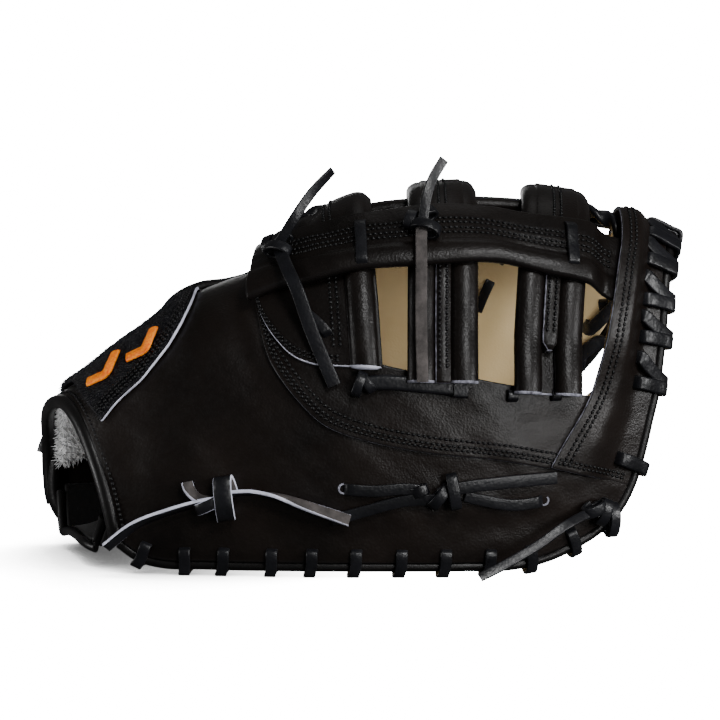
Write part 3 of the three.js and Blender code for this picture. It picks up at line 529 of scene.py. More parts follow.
# A closed leather sheet on a panel, with a rounded edge all round; pale lists the sides cut raw.
# Its outer cells come first in the mesh, then its inner ones, then the edge.
def leatherSheet(name, spec, columns, rows, inner, outer, materials, soft=1.0, pale=(),
                 paleSteps=(0, 1, 2, 3)):
    u, s = np.meshgrid(gridLine(columns), gridLine(rows), indexing="ij")
    top, _ = panelPoints(spec, u, s, outer(u, s), soft)
    bottom, _ = panelPoints(spec, u, s, inner(u, s), soft)
    nu, ns = u.shape
    index = np.arange(nu * ns).reshape(nu, ns)
    loop = ([(i, 0) for i in range(nu - 1)] + [(nu - 1, j) for j in range(ns - 1)]
            + [(i, ns - 1) for i in range(nu - 1, 0, -1)] + [(0, j) for j in range(ns - 1, 0, -1)])
    li = np.array([p[0] for p in loop])
    lj = np.array([p[1] for p in loop])
    towardI = np.clip(li, 1, nu - 2)
    towardJ = np.clip(lj, 1, ns - 2)
    middle = (top + bottom) / 2
    out = unit(middle[li, lj] - middle[towardI, towardJ])
    thick = np.linalg.norm(top[li, lj] - bottom[li, lj], axis=-1)
    points = [top.reshape(-1, 3), bottom.reshape(-1, 3)]
    for k in range(1, sheetEdge["steps"]):
        angle = math.pi * k / sheetEdge["steps"]
        half = (top[li, lj] - bottom[li, lj]) / 2
        points.append(middle[li, lj] + half * math.cos(angle)
                      + out * (thick * sheetEdge["swell"] * math.sin(angle))[:, None])
    corners = [index[:-1, :-1], index[1:, :-1], index[1:, 1:], index[:-1, 1:]]
    cells = np.stack([corner.ravel() for corner in corners], 1)
    size = nu * ns
    faces = cells.tolist() + (cells[:, ::-1] + size).tolist()
    picks = [0] * len(faces)
    count = len(loop)
    rings = [index[li, lj]]
    rings += [2 * size + k * count + np.arange(count) for k in range(sheetEdge["steps"] - 1)]
    rings.append(index[li, lj] + size)
    sides = (["lower"] * (nu - 1) + ["right"] * (ns - 1) + ["upper"] * (nu - 1)
             + ["left"] * (ns - 1))
    for k in range(sheetEdge["steps"]):
        for m in range(count):
            n = (m + 1) % count
            faces.append([int(rings[k][m]), int(rings[k + 1][m]), int(rings[k + 1][n]),
                          int(rings[k][n])])
            picks.append(1 if sides[m] in pale and k in paleSteps else 0)
    ring = np.zeros((nu, ns))
    ring[[0, -1], :] = 1
    ring[:, [0, -1]] = 1
    # Weight of the rim colour (edge wear and painted highlight): the outer cells' border ring and the
    # whole edge wall
    edgeWearAndHighlight = np.concatenate([ring.ravel(), ring.ravel() * 0, np.ones(count * (sheetEdge["steps"] - 1))])
    return meshObject(name, np.concatenate(points), faces, materials, picks, edgeWearAndHighlight * sheetEdge["wearAndHighlight"])


def panel(name, node, spec, cells, inner, outer, materials, **cut):
    sheet = leatherSheet(name, spec, *cells, inner, outer, materials, **cut)
    return dress(sheet, "black_leather", node)


# A closed profile of (across, out) swept along points with their normals: sides picks a material
# for each side of the profile, wide scales it across at each station, rawEnd is cut raw
def sweepProfile(name, points, normals, profile, materials, sides=None, wide=None, rawEnd=0):
    points = np.asarray(points)
    tangent = unit(np.gradient(points, axis=0))
    across = unit(np.cross(tangent, normals))
    out = unit(np.cross(across, tangent))
    profile = np.asarray(profile)
    count = len(profile)
    wide = np.ones(len(points)) if wide is None else wide
    rings = (points[:, None, :]
             + across[:, None, :] * (profile[None, :, 0] * wide[:, None])[..., None]
             + out[:, None, :] * profile[None, :, 1, None])
    faces = []
    picks = []
    for i in range(len(points) - 1):
        for k in range(count):
            a = i * count + k
            b = i * count + (k + 1) % count
            faces.append([a, b, b + count, a + count])
            picks.append(1 if i < rawEnd else sides[k] if sides else 0)
    last = (len(points) - 1) * count
    faces.append(list(range(count))[::-1])
    faces.append([last + k for k in range(count)])
    picks += [min(1, len(materials) - 1)] * 2
    return meshObject(name, rings.reshape(-1, 3), faces, materials, picks)


# Flat lace with raw cut edges: smooth on one face, rough on the other
def rawProfile(width, thick, bevel=0.00025):
    w = width / 2
    h = thick / 2
    return [(-w + bevel, -h), (w - bevel, -h), (w, -h + bevel), (w, h - bevel), (w - bevel, h),
            (-w + bevel, h), (-w, h - bevel), (-w, -h + bevel)]


rawSides = [2, 1, 1, 1, 0, 1, 1, 1]


def rawLace(name, path, width, thick):
    return sweepProfile(name, *path, rawProfile(width, thick), [laceLeather, cutEdge, fleshSide],
                        rawSides)


# Geometry Nodes: what follows a path, and what repeats along one or over a surface
def newTree(name, inputs):
    tree = bpy.data.node_groups.new(name, "GeometryNodeTree")
    tree.interface.new_socket("Geometry", in_out="OUTPUT", socket_type="NodeSocketGeometry")
    tree.interface.new_socket("Geometry", in_out="INPUT", socket_type="NodeSocketGeometry")
    for label, kind in inputs:
        tree.interface.new_socket(label, in_out="INPUT", socket_type="NodeSocket" + kind)
    return tree, tree.nodes.new("NodeGroupInput").outputs, addTo(tree)


def endTree(tree, add, geometry, material):
    real = add("GeometryNodeRealizeInstances", {"Geometry": geometry})["Geometry"]
    soft = add("GeometryNodeSetShadeSmooth", {"Geometry": real})["Geometry"]
    done = add("GeometryNodeSetMaterial", {"Geometry": soft, "Material": material})["Geometry"]
    end = tree.nodes.new("NodeGroupOutput")
    tree.links.new(done, end.inputs["Geometry"])
    return tree


def makePathTree():
    tree, given, add = newTree("pathBand", [("Width", "Float"), ("Thick", "Float"),
                                            ("Corner", "Float"), ("Finish", "Material")])
    face = add("GeometryNodeInputNamedAttribute", {"Name": "face"}, data_type="FLOAT_VECTOR")
    curve = add("GeometryNodeMeshToCurve", {"Mesh": given["Geometry"]})["Curve"]
    turned = add("GeometryNodeSetCurveNormal", {"Curve": curve, "Normal": face["Attribute"]},
                 mode="FREE")["Curve"]
    outline = add("GeometryNodeCurvePrimitiveQuadrilateral",
                  {"Width": given["Thick"], "Height": given["Width"]})["Curve"]
    rounded = add("GeometryNodeFilletCurve", {"Curve": outline, "Count": 3,
                                              "Radius": given["Corner"], "Limit Radius": True},
                  mode="POLY")["Curve"]
    band = add("GeometryNodeCurveToMesh", {"Curve": turned, "Profile Curve": rounded,
                                           "Fill Caps": True})["Mesh"]
    return endTree(tree, add, band, given["Finish"])


def makeStitchTree():
    tree, given, add = newTree("stitchRow", [("Pitch", "Float"), ("Long", "Float"),
                                             ("Wide", "Float"), ("High", "Float"),
                                             ("Wobble", "Float"), ("Finish", "Material")])
    face = add("GeometryNodeInputNamedAttribute", {"Name": "face"}, data_type="FLOAT_VECTOR")
    curve = add("GeometryNodeMeshToCurve", {"Mesh": given["Geometry"]})["Curve"]
    even = add("GeometryNodeResampleCurve", {"Curve": curve, "Length": given["Pitch"]},
               mode="LENGTH")["Curve"]
    tangent = add("GeometryNodeInputTangent")["Tangent"]
    lean = add("FunctionNodeRandomValue", {"Min": (-0.5, -0.5, -0.5), "Max": (0.5, 0.5, 0.5),
                                           "Seed": 3}, data_type="FLOAT_VECTOR")["Value"]
    wobble = add("ShaderNodeVectorMath", {0: lean, "Scale": given["Wobble"]},
                 operation="SCALE")["Vector"]
    way = add("ShaderNodeVectorMath", {0: tangent, 1: wobble}, operation="ADD")["Vector"]
    lined = add("FunctionNodeAlignRotationToVector", {"Vector": way}, axis="X")["Rotation"]
    turned = add("FunctionNodeAlignRotationToVector",
                 {"Rotation": lined, "Vector": face["Attribute"]}, axis="Z",
                 pivot_axis="X")["Rotation"]
    bead = add("GeometryNodeMeshUVSphere", {"Segments": 6, "Rings": 4, "Radius": 0.5})["Mesh"]
    size = add("ShaderNodeCombineXYZ", {"X": given["Long"], "Y": given["Wide"],
                                        "Z": given["High"]})["Vector"]
    rows = add("GeometryNodeInstanceOnPoints", {"Points": even, "Instance": bead,
                                                "Rotation": turned, "Scale": size})["Instances"]
    return endTree(tree, add, rows, given["Finish"])


def makePileTree():
    tree, given, add = newTree("pile", [("Density", "Float"), ("Long", "Float"),
                                        ("Thick", "Float"), ("Lean", "Vector"),
                                        ("Stray", "Float"), ("Finish", "Material")])
    spots = add("GeometryNodeDistributePointsOnFaces",
                {"Mesh": given["Geometry"], "Density": given["Density"], "Seed": 11})
    stray = add("FunctionNodeRandomValue", {"Min": (-1, -1, -1), "Max": (1, 1, 1), "Seed": 5},
                data_type="FLOAT_VECTOR")["Value"]
    loose = add("ShaderNodeVectorMath", {0: stray, "Scale": given["Stray"]},
                operation="SCALE")["Vector"]
    leaned = add("ShaderNodeVectorMath", {0: spots["Normal"], 1: given["Lean"]},
                 operation="ADD")["Vector"]
    way = add("ShaderNodeVectorMath", {0: leaned, 1: loose}, operation="ADD")["Vector"]
    turned = add("FunctionNodeAlignRotationToVector", {"Vector": way}, axis="Z")["Rotation"]
    hair = add("GeometryNodeMeshCone", {"Vertices": 4, "Side Segments": 2, "Radius Top": 0.08,
                                        "Radius Bottom": 0.5, "Depth": 1.0})["Mesh"]
    vary = add("FunctionNodeRandomValue", {2: 0.6, 3: 1.25, "Seed": 8}, data_type="FLOAT")[1]
    size = add("ShaderNodeCombineXYZ", {"X": given["Thick"], "Y": given["Thick"],
                                        "Z": reckon(add, "MULTIPLY", given["Long"], vary)})["Vector"]
    hairs = add("GeometryNodeInstanceOnPoints", {"Points": spots["Points"], "Instance": hair,
                                                 "Rotation": turned, "Scale": size})["Instances"]
    return endTree(tree, add, hairs, given["Finish"])


pathTree = makePathTree()
stitchTree = makeStitchTree()
pileTree = makePileTree()


def bakeTree(obj, tree, values):
    modifier = obj.modifiers.new(tree.name, "NODES")
    modifier.node_group = tree
    for item in tree.interface.items_tree:
        if item.item_type == "SOCKET" and item.in_out == "INPUT" and item.name in values:
            modifier[item.identifier] = values[item.name]
    bpy.context.view_layer.update()
    graph = bpy.context.evaluated_depsgraph_get()
    result = bpy.data.meshes.new_from_object(obj.evaluated_get(graph))
    obj.modifiers.remove(modifier)
    old = obj.data
    obj.data = result
    result.name = obj.name
    bpy.data.meshes.remove(old)
    return obj


def pathObject(name, paths):
    points = np.concatenate([p for p, _ in paths]) + shift
    faces = np.concatenate([n for _, n in paths])
    edges = []
    start = 0
    for p, _ in paths:
        edges += [(start + k, start + k + 1) for k in range(len(p) - 1)]
        start += len(p)
    mesh = bpy.data.meshes.new(name)
    mesh.from_pydata(points.tolist(), edges, [])
    mesh.attributes.new("face", "FLOAT_VECTOR", "POINT").data.foreach_set("vector", faces.ravel())
    return linked(name, mesh)


def bands(name, paths, width, thick, material, corner=None):
    obj = pathObject(name, paths)
    return bakeTree(obj, pathTree, {"Width": width, "Thick": thick,
                                    "Corner": corner or lace["corner"], "Finish": material})


stitchSize = {"Pitch": 0.0027, "Long": 0.0027, "Wide": 0.0018, "High": 0.0016, "Wobble": 0.3}


def stitches(name, paths, slotName="black_leather", *nodes, size=stitchSize, thread=blackThread):
    obj = bakeTree(pathObject(name, paths), stitchTree, {**size, "Finish": thread})
    return dress(obj, slotName, *nodes)


# Paths: a row of stations made smooth, and a seam at a distance inside a panel's edge
def smoothPath(points, normals, samples=10):
    steps = np.linspace(0, 1, samples * (len(points) - 1) + 1)
    return splineThrough(points)(steps), unit(splineThrough(normals)(steps))


def smoothStations(stations):
    return smoothPath([point for point, _ in stations], [normal for _, normal in stations])


def fromSide(side, along, inward):
    return {"lower": (along, inward), "upper": (along, 1 - inward), "left": (inward, along),
            "right": (1 - inward, along)}[side]


def seamLine(spec, side, distance, outer, start=0.0, stop=1.0, count=120):
    t = np.linspace(start, stop, count)
    w = np.linspace(0, 0.5, 60)
    u, s = fromSide(side, *np.meshgrid(t, w, indexing="ij"))
    points, _ = panelPoints(spec, u, s, outer(u, s), 0)
    run = np.concatenate([np.zeros((count, 1)),
                          np.cumsum(np.linalg.norm(np.diff(points, axis=1), axis=-1), axis=1)], 1)
    inset = np.array([np.interp(distance, run[k], w) for k in range(count)])
    return seamAt(spec, *fromSide(side, t, inset), outer)


def seamAt(spec, u, s, outer):
    return panelPoints(spec, u, s, outer(u, s))


def level(value):
    return lambda u, s: value + 0 * u


# Camera, floor and light
view = {"target": (-0.002, 0.0, 0.1039), "distance": 1.5, "elevation": 5.0, "sensor": 36.0,
        "pixel": 0.00052, "frame": 720, "reach": 20}
camera = bpy.data.cameras.new("camera")
camera.sensor_width = view["sensor"]
camera.lens = view["sensor"] * view["distance"] / (view["pixel"] * view["frame"])
camera.clip_end = view["reach"]
cameraObject = linked("camera", camera)
target = Vector(np.array(view["target"]) + shift)
angle = math.radians(view["elevation"])
cameraObject.location = target + Vector((0, -math.cos(angle), math.sin(angle))) * view["distance"]
cameraObject.rotation_euler = (target - cameraObject.location).to_track_quat("-Z", "Y").to_euler()
bpy.context.scene.camera = cameraObject

# The floor glows white except where the mitt shades it, most at the wrist; the backdrop is a white
# dome. Both are seen, and light nothing.
studio = {"floor": 22.0, "half": 3, "dome": 22.0, "radius": 6.0, "fill": 0.08, "middle": (0, 0, 0.09)}
shade = {"reach": 0.2, "samples": 12, "from": -0.15, "to": 0.02, "least": 0.1, "curve": 4.5,
         "open": 0.62, "darkest": 0.1}


def glowing(name, strength):
    material, add, shader = newMaterial(name)
    setInputs(shader, {"Base Color": (0, 0, 0, 1), "Specular IOR Level": 0,
                       "Emission Color": (1, 1, 1, 1), "Emission Strength": strength})
    return material


def shadeFloor(material):
    add = addTo(material.node_tree)
    shader = material.node_tree.nodes["Principled BSDF"]
    free = add("ShaderNodeAmbientOcclusion", {"Distance": shade["reach"]}, samples=shade["samples"])
    place = add("ShaderNodeSeparateXYZ", {"Vector": add("ShaderNodeTexCoord")["Object"]})
    weight = add("ShaderNodeMapRange", {"Value": place["X"], "From Min": shade["from"],
                                        "From Max": shade["to"], "To Min": 1.0,
                                        "To Max": shade["least"]})["Result"]
    shaded = reckon(add, "MULTIPLY", reckon(add, "SUBTRACT", 1.0, free["AO"]), weight)
    light = reckon(add, "POWER", reckon(add, "SUBTRACT", 1.0, shaded), shade["curve"])
    glow = add("ShaderNodeMapRange", {"Value": light, "From Max": shade["open"],
                                      "To Min": shade["darkest"], "To Max": studio["floor"]})
    setInputs(shader, {"Emission Strength": glow["Result"]})


def stagePiece(name, mesh, material):
    mesh.materials.append(material)
    obj = linked(name, mesh)
    obj.visible_diffuse = False
    obj.visible_glossy = False
    obj.visible_transmission = False
    obj.visible_shadow = False


floorMesh = bpy.data.meshes.new("floor")
floorMesh.from_pydata([(x * studio["half"], y * studio["half"], 0)
                       for x, y in ((-1, -1), (1, -1), (1, 1), (-1, 1))], [], [(0, 1, 2, 3)])
paleFloor = glowing("paleFloor", studio["floor"])
shadeFloor(paleFloor)
stagePiece("floor", floorMesh, paleFloor)
domeMesh = bpy.data.meshes.new("dome")
domeWork = bmesh.new()
bmesh.ops.create_icosphere(domeWork, subdivisions=3, radius=studio["radius"])
domeWork.to_mesh(domeMesh)
domeWork.free()
stagePiece("dome", domeMesh, glowing("whiteDome", studio["dome"]))

world = bpy.data.worlds.new("studio")
world.use_nodes = True
setInputs(world.node_tree.nodes["Background"], {"Color": (1, 1, 1, 1), "Strength": studio["fill"]})
bpy.context.scene.world = world

# The last two are near lamps that light the pocket and the wrist
lamps = {
    "key": {"place": (0.5, -1.35, 1.2), "size": 0.4, "watts": 22},
    "side": {"place": (-1.8, -0.3, 0.4), "size": 0.4, "watts": 8},
    "top": {"place": (0.1, 0.5, 1.6), "size": 0.8, "watts": 1.5},
    "front": {"place": (0.9, -1.9, 0.3), "size": 0.5, "watts": 18},
    "tips": {"place": (1.5, -0.9, 0.35), "size": 0.4, "watts": 18},
    "back": {"place": (-0.3, 2.2, 0.15), "size": 0.8, "watts": 5},
    "pocket": {"place": (0.128, -0.012, 0.1), "aim": (0.12, 0.08, 0.11), "size": 0.03, "watts": 0.022},
    "wrist": {"place": (-0.25, -0.07, 0.04), "aim": (-0.12, 0.0, 0.13), "size": 0.04, "watts": 0.12},
}
for name, spec in lamps.items():
    lamp = bpy.data.lights.new(name, "AREA")
    lamp.size = spec["size"]
    lamp.energy = spec["watts"]
    lampObject = linked(name, lamp)
    lampObject.location = spec["place"]
    way = Vector(spec.get("aim", studio["middle"])) - Vector(spec["place"])
    lampObject.rotation_euler = way.to_track_quat("-Z", "Y").to_euler()
    lampObject.visible_camera = False
print("camera and light placed")

# Backs
thumbBack = prepare({
    "lower": thumbRim, "left": wristThumb, "limit": (0, 0.9975),
    "upper": onThumb((0.022, 1), (0.1, 1), (0.2, 1), (0.3, 1), (0.338, 0.775), (0.358, 0.68),
                     (0.378, 0.6), (0.405, 0.54), (0.445, 0.475), (0.504, 0.42), (0.6, 0.382),
                     (0.707, 0.36), (0.76, 0.335), (0.79, 0.298), (0.85, 0.268), (0.897, 0.243)),
})
panel("thumbBack", "thumb_back", thumbBack, (130, 64), level(0), level(leather),
      [blackLeather, cutEdge])

fingerBack = prepare({
    "lower": fingerRim[::-1], "left": wristFinger[::-1], "right": fingerTip[3:][::-1],
    "limit": (1.0025, 2),
    "upper": onFinger((0.022, 1), (0.1, 1), (0.2, 1), (0.325, 1), (0.372, 0.835), (0.43, 0.825),
                      (0.5, 0.85), (0.62, 0.865), (0.75, 0.855), (0.84, 0.815), (0.875, 0.79),
                      (0.925, 0.757)),
})
ridge = {"depth": 0.0016, "count": 4, "sharpness": 6}


def fingerRidges(u, s):
    fade = smooth(u * 5 - 1) * smooth((1 - u) * 5) * smooth(s * 5) * smooth((1 - s) * 5)
    return -ridge["depth"] * fade * np.abs(np.cos(s * ridge["count"] * math.pi)) ** ridge["sharpness"]


panel("fingerBack", "finger_back", fingerBack, (120, 90), fingerRidges,
      lambda u, s: leather + fingerRidges(u, s), [blackLeather, cutEdge])

# Collar and band that carry the web
thumbCollar = prepare({
    "lower": onThumb((0.342, 0.722), (0.351, 0.65), (0.363, 0.587), (0.392, 0.511), (0.431, 0.437),
                     (0.462, 0.405), (0.505, 0.381), (0.553, 0.362), (0.614, 0.345), (0.705, 0.327),
                     (0.778, 0.302), (0.79, 0.299)),
    "upper": onThumb((0.35, 0.755), (0.362, 0.7), (0.378, 0.662), (0.4, 0.632), (0.43, 0.61),
                     (0.47, 0.6), (0.51, 0.592), (0.527, 0.578), (0.583, 0.557), (0.655, 0.543),
                     (0.71, 0.524), (0.778, 0.505), (0.853, 0.482)),
})
collarSeams = (0.0026, 0.0046, 0.0078)
bandSeam = 0.0035
bandTop = level(overBack + leather)
panel("thumbCollar", "thumb_collar", thumbCollar, (120, 22), level(overBack), bandTop,
      [blackLeather, wornEdge], pale=("lower",), paleSteps=(1, 2))
stitches("collarStitches", [seamLine(thumbCollar, "lower", d, bandTop, 0.02, 0.985, 200)
                            for d in collarSeams])
panel("fingerBand", "finger_band", fingerBand, (90, 14), level(overBack), bandTop,
      [blackLeather, cutEdge])
stitches("bandStitches", [seamLine(fingerBand, side, bandSeam, bandTop, 0.02, 0.98)
                          for side in ("lower", "upper")])
print("backs and bands made")

# Web base with its rolled edges
webBase = prepare({
    "lower": onThumb((0.345, 0.735), (0.354, 0.69), (0.37, 0.648), (0.394, 0.605), (0.422, 0.583),
                     (0.466, 0.577), (0.526, 0.573)),
    "upper": onFinger((0.35, 0.82), (0.42, 0.83), (0.48, 0.845), (0.515, 0.85)),
    "left": onThumb((0.345, 0.735), (0.342, 0.78), (0.345, 1)) + onFinger((0.35, 0.82)),
    "right": onThumb((0.526, 0.573), (0.521, 0.72), (0.516, 0.84),
                     (0.513, 1)) + onFinger((0.515, 0.85)),
})
roll = {"height": 0.0046, "at": 0.905, "half": 0.085, "leftAt": 0.56, "leftHalf": 0.1,
        "leftShare": 0.85, "leftFrom": 0.4, "leftTo": 0.96, "hollow": 0.55, "hollowFrom": 0.1,
        "hollowTo": 0.92}
# The block that fills the base over the crest
block = {"share": 0.98, "half": 0.34, "soft": 0.16, "from": 0.42, "rise": 0.4, "end": 0.09}
webSeams = (0.0024, 0.0044)


def tubeShape(distance):
    return np.sqrt(np.clip(1 - distance**2, 0, 1))


def webBulge(u, s):
    right = tubeShape((u - roll["at"]) / roll["half"])
    left = roll["leftShare"] * tubeShape((u - roll["leftAt"]) / roll["leftHalf"])
    left = left * smooth((s - roll["leftFrom"]) * 8) * smooth((roll["leftTo"] - s) * 8)
    _, v = webBase["places"](u, s)
    filled = block["share"] * smooth((block["half"] - np.abs(v - 1)) / block["soft"])
    filled = filled * smooth((u - block["from"]) / block["rise"])
    filled = filled * np.sqrt(smooth((1.0 - u) / block["end"]))
    return roll["height"] * np.maximum(np.maximum(right, left), filled)


def webOuter(u, s):
    return overCollar + leather + webBulge(u, s)


def webInner(u, s):
    inside = smooth((s - roll["hollowFrom"]) * 12) * smooth((roll["hollowTo"] - s) * 12)
    return overCollar + webBulge(u, s) * roll["hollow"] * inside


panel("webBase", "web_base", webBase, (110, 90), webInner, webOuter, [webLeather, cutEdge],
      pale=("lower", "left"), paleSteps=(0, 1, 2))
webRows = [seamAt(webBase, np.full(90, u), np.linspace(0.04, 0.9, 90), webOuter)
           for u in (0.765, 0.725)]
webRows += [seamLine(webBase, "lower", d, webOuter, 0.06, 0.74, 90) for d in webSeams]
webRows += [seamLine(webBase, "left", d, webOuter, 0.02, 0.5, 60) for d in webSeams]
stitches("webBaseStitches", webRows)


# Web strips: a sheet with both long edges curled into tubes over it, and a stitched tongue between
def curledProfile(steps=14):
    half = strip["width"] / 2 - strip["curlWide"]
    angles = np.radians(np.linspace(-90, 190, steps + 1))

    def arc(grow):
        return [(half + (strip["curlWide"] + grow) * math.cos(a),
                 strip["curl"] + (strip["curl"] + grow) * math.sin(a)) for a in angles]

    outside = arc(strip["leather"] / 2)
    inside = arc(-strip["leather"] / 2)
    return (outside + inside[::-1] + [(-a, b) for a, b in inside]
            + [(-a, b) for a, b in outside][::-1])


def stripPath(foot, top, end, footUp):
    s = np.concatenate([[0, 0.0025], np.linspace(0, 1, 80)[1:]])
    low = archShare(toX(foot), toZ(footUp), near)
    high = archShare(toX(end), toZ(strip["farUp"]), far)
    v = low * (1 - s) + high * s
    along = np.where(v < 1, foot + (top - foot) * smooth(v), top + (end - top) * smooth(v - 1))
    x = toX(along)
    z = backSkin(x, v)[..., 2]
    over = overCollar + drape + strip["leather"] / 2 - strip["proud"]
    rising = smooth((z - toZ(footUp)) / strip["footReach"])
    lift = strip["proud"] + strip["overFoot"] * (1 - rising)
    return offset(backSkin, x, v, lift + np.where(v > 1, over * smooth((v - 1) * strip["settle"]), 0))


# The tongue lies between the curls; over the crest it widens to a flat cap
tongue = {"half": 0.0039, "high": 0.0076, "corner": 0.0005}
cap = {"half": 0.0122, "high": 0.0096, "corner": 0.0022}
tongueLow = 0.001
roundedEnd = 0.0045
tongueSeams = (-0.0018, 0.0018)
strips = {"webStripMiddle": {"node": "web_strip_middle", "path": (0.614, 0.621, 0.622, 0.53), "first": 0},
          "webStripRight": {"node": "web_strip_right", "path": (0.76, 0.793, 0.8, 0.497), "first": 6}}


def tonguePiece(name, points, normals, spec, rounded, materials):
    w, low, top, b = spec["half"], tongueLow, spec["high"], spec["corner"]
    profile = [(-w, low), (w, low), (w, top - b), (w - b, top), (-w + b, top), (-w, top - b)]
    run = np.clip(np.linalg.norm(points - points[0], axis=1) / roundedEnd, 0.05, 1)
    wide = np.sqrt(1 - (1 - run) ** 2) if rounded else None
    return sweepProfile(name, points, normals, profile, materials, [0, 0, 0, 0, 1, 0], wide)


def makeStrip(name, spec):
    points, normals = stripPath(*spec["path"])
    tubes = sweepProfile(name, points, normals, curledProfile(), [webLeather, wornEdge], rawEnd=1)
    first, last = spec["first"], len(points)
    crest = np.flatnonzero(points[:, 2] > toZ(strip["flatTop"]))
    a, z = crest[0], crest[-1]
    stretches = [(first, a + 2, tongue, wornEdge), (a, z, cap, webLeather),
                 (z - 2, last, tongue, webLeather)]
    pieces = [tonguePiece(f"{name}Tongue", points[i:j], normals[i:j], part,
                          part is tongue and 0 < i < a, [webLeather, side])
              for i, j, part, side in stretches]
    dress(joinPieces([tubes] + pieces), "black_leather", spec["node"])
    heights = np.full(last, tongue["high"])
    heights[a:z] = cap["high"]
    across = unit(np.cross(unit(np.gradient(points, axis=0)), normals))
    rows = []
    for rowAcross in tongueSeams:
        row = points + across * rowAcross + normals * (heights[:, None] + 0.0002)
        rows += [(row[i:j], normals[i:j]) for i, j in ((first + 3, a), (a, z), (z, last - 2))]
    return rows


stripRows = [row for name, spec in strips.items() for row in makeStrip(name, spec)]
stitches("stripStitches", stripRows)


# A round roll or cord on one path
def roundBand(name, node, points, normals, radius, material):
    band = bands(name, [(points, normals)], 2 * radius, 2 * radius, material, radius * 0.98)
    return dress(band, "black_leather", node)


# Core under the rail, the rail and the tip panel
core = {"radius": 0.0042, "from": 0.47, "to": 0.885, "rise": 0.0036}
coreX = toX(np.linspace(core["from"], core["to"], 60))
coreOut = strip["proud"] - strip["leather"] / 2 - seat - core["radius"] + core["rise"]
roundBand("webCore", "web_core", *offset(backSkin, coreX, 1 + 0 * coreX, coreOut + 0 * coreX),
          core["radius"], webLeather)

webRail = prepare({
    "lower": onThumb((0.339, 0.728), (0.373, 0.757), (0.43, 0.78), (0.499, 0.812), (0.574, 0.823),
                     (0.637, 0.831), (0.7, 0.831), (0.773, 0.802), (0.826, 0.78), (0.873, 0.738)),
    "upper": onThumb((0.352, 0.84), (0.39, 0.866), (0.437, 0.89), (0.487, 0.918), (0.533, 0.932),
                     (0.599, 0.945), (0.68, 0.943), (0.734, 0.929), (0.792, 0.918), (0.852, 0.9),
                     (0.887, 0.885)),
})


def railEnd(u):
    return smooth((u - rail["end"]) * rail["endSlope"])


def railLift(u):
    start = overWebBase
    start = start + (overStrips - start) * smooth((u - rail["start"]) * rail["startSlope"])
    return start + (overCollar - start) * railEnd(u)


def railOuter(u, s):
    lip = tubeShape((s - rail["rollAt"]) / rail["rollHalf"])
    grooves = rail["groove"] * sum(np.exp(-((s - at) / rail["grooveWide"]) ** 2)
                                   for at in rail["grooves"])
    thick = rail["thick"] + rail["roll"] * lip - grooves
    return railLift(u) + thick * (1 - rail["endThinner"] * railEnd(u))


panel("webRail", "web_rail", webRail, (150, 30), lambda u, s: railLift(u), railOuter,
      [webLeather, cutEdge])
stitches("railStitches", [seamAt(webRail, np.linspace(0.09, 0.97, 220), np.full(220, s), railOuter)
                          for s in rail["seams"]])

tipPanel = prepare({
    "lower": onThumb((0.776, 0.306), (0.813, 0.289), (0.858, 0.268), (0.897, 0.246)),
    "upper": onFinger((0.876, 0.8), (0.925, 0.768)),
    "left": onThumb((0.776, 0.306), (0.829, 0.47), (0.84, 0.52), (0.858, 0.676), (0.866, 0.748),
                    (0.874, 0.822), (0.882, 0.878), (0.888, 1)) + onFinger((0.884, 0.88),
                    (0.876, 0.8)),
    "right": thumbTip + fingerTip[1:4],
})


# The tip panel lies over the rail's end between two shares of its height, and comes down to the
# skin toward the rim
tip = {"overRail": 1.6, "from": 0.12, "to": 0.7, "downFrom": 0.3, "downOver": 0.5}


def tipLift(u, s):
    overRailEnd = tip["overRail"] * rail["thick"] * smooth((s - tip["from"]) * 9)
    overRailEnd = overRailEnd * smooth((tip["to"] - s) * 5)
    return (overCollar + seat + overRailEnd) * (1 - smooth((u - tip["downFrom"]) / tip["downOver"]))


def tipOuter(u, s):
    return leather + tipLift(u, s)


panel("tipPanel", "tip_panel", tipPanel, (40, 110), tipLift, tipOuter, [blackLeather, wornEdge],
      pale=("left", "lower"), paleSteps=(1, 2))
tipSeams = {"left": (0.0042, 0.0072), "lower": (0.0026, 0.0046)}
tipRows = [seamLine(tipPanel, "left", d, tipOuter, 0.01, 0.8, 160) for d in tipSeams["left"]]
tipRows += [seamLine(tipPanel, "lower", d, tipOuter, 0.05, 0.9, 50) for d in tipSeams["lower"]]
stitches("tipStitches", tipRows)
print("web made")

# Palm: an arch with a window for the web, padded
palmPanel = prepare({"lower": thumbRim, "upper": fingerRim[::-1], "right": tipRim,
                     "left": wristPalm, "surface": palmSkin})


def palmHalf(u, s):
    fromRim = np.minimum(np.minimum(s, 1 - s), 1 - u) * palm["edgeSlope"] - 1
    return (palm["edge"] + (palm["thick"] - palm["edge"]) * smooth(fromRim)) / 2


# The window's outline as along and up; it is cut from in front to a little past the crest
window = {"far": 0.02, "rows": [(0.405, 0.66), (0.42, 0.57), (0.47, 0.545), (0.583, 0.53),
                                (0.71, 0.5), (0.815, 0.462), (0.845, 0.5), (0.862, 0.6),
                                (0.876, 0.72), (0.888, 0.84), (0.892, 1.2), (0.405, 1.2)]}


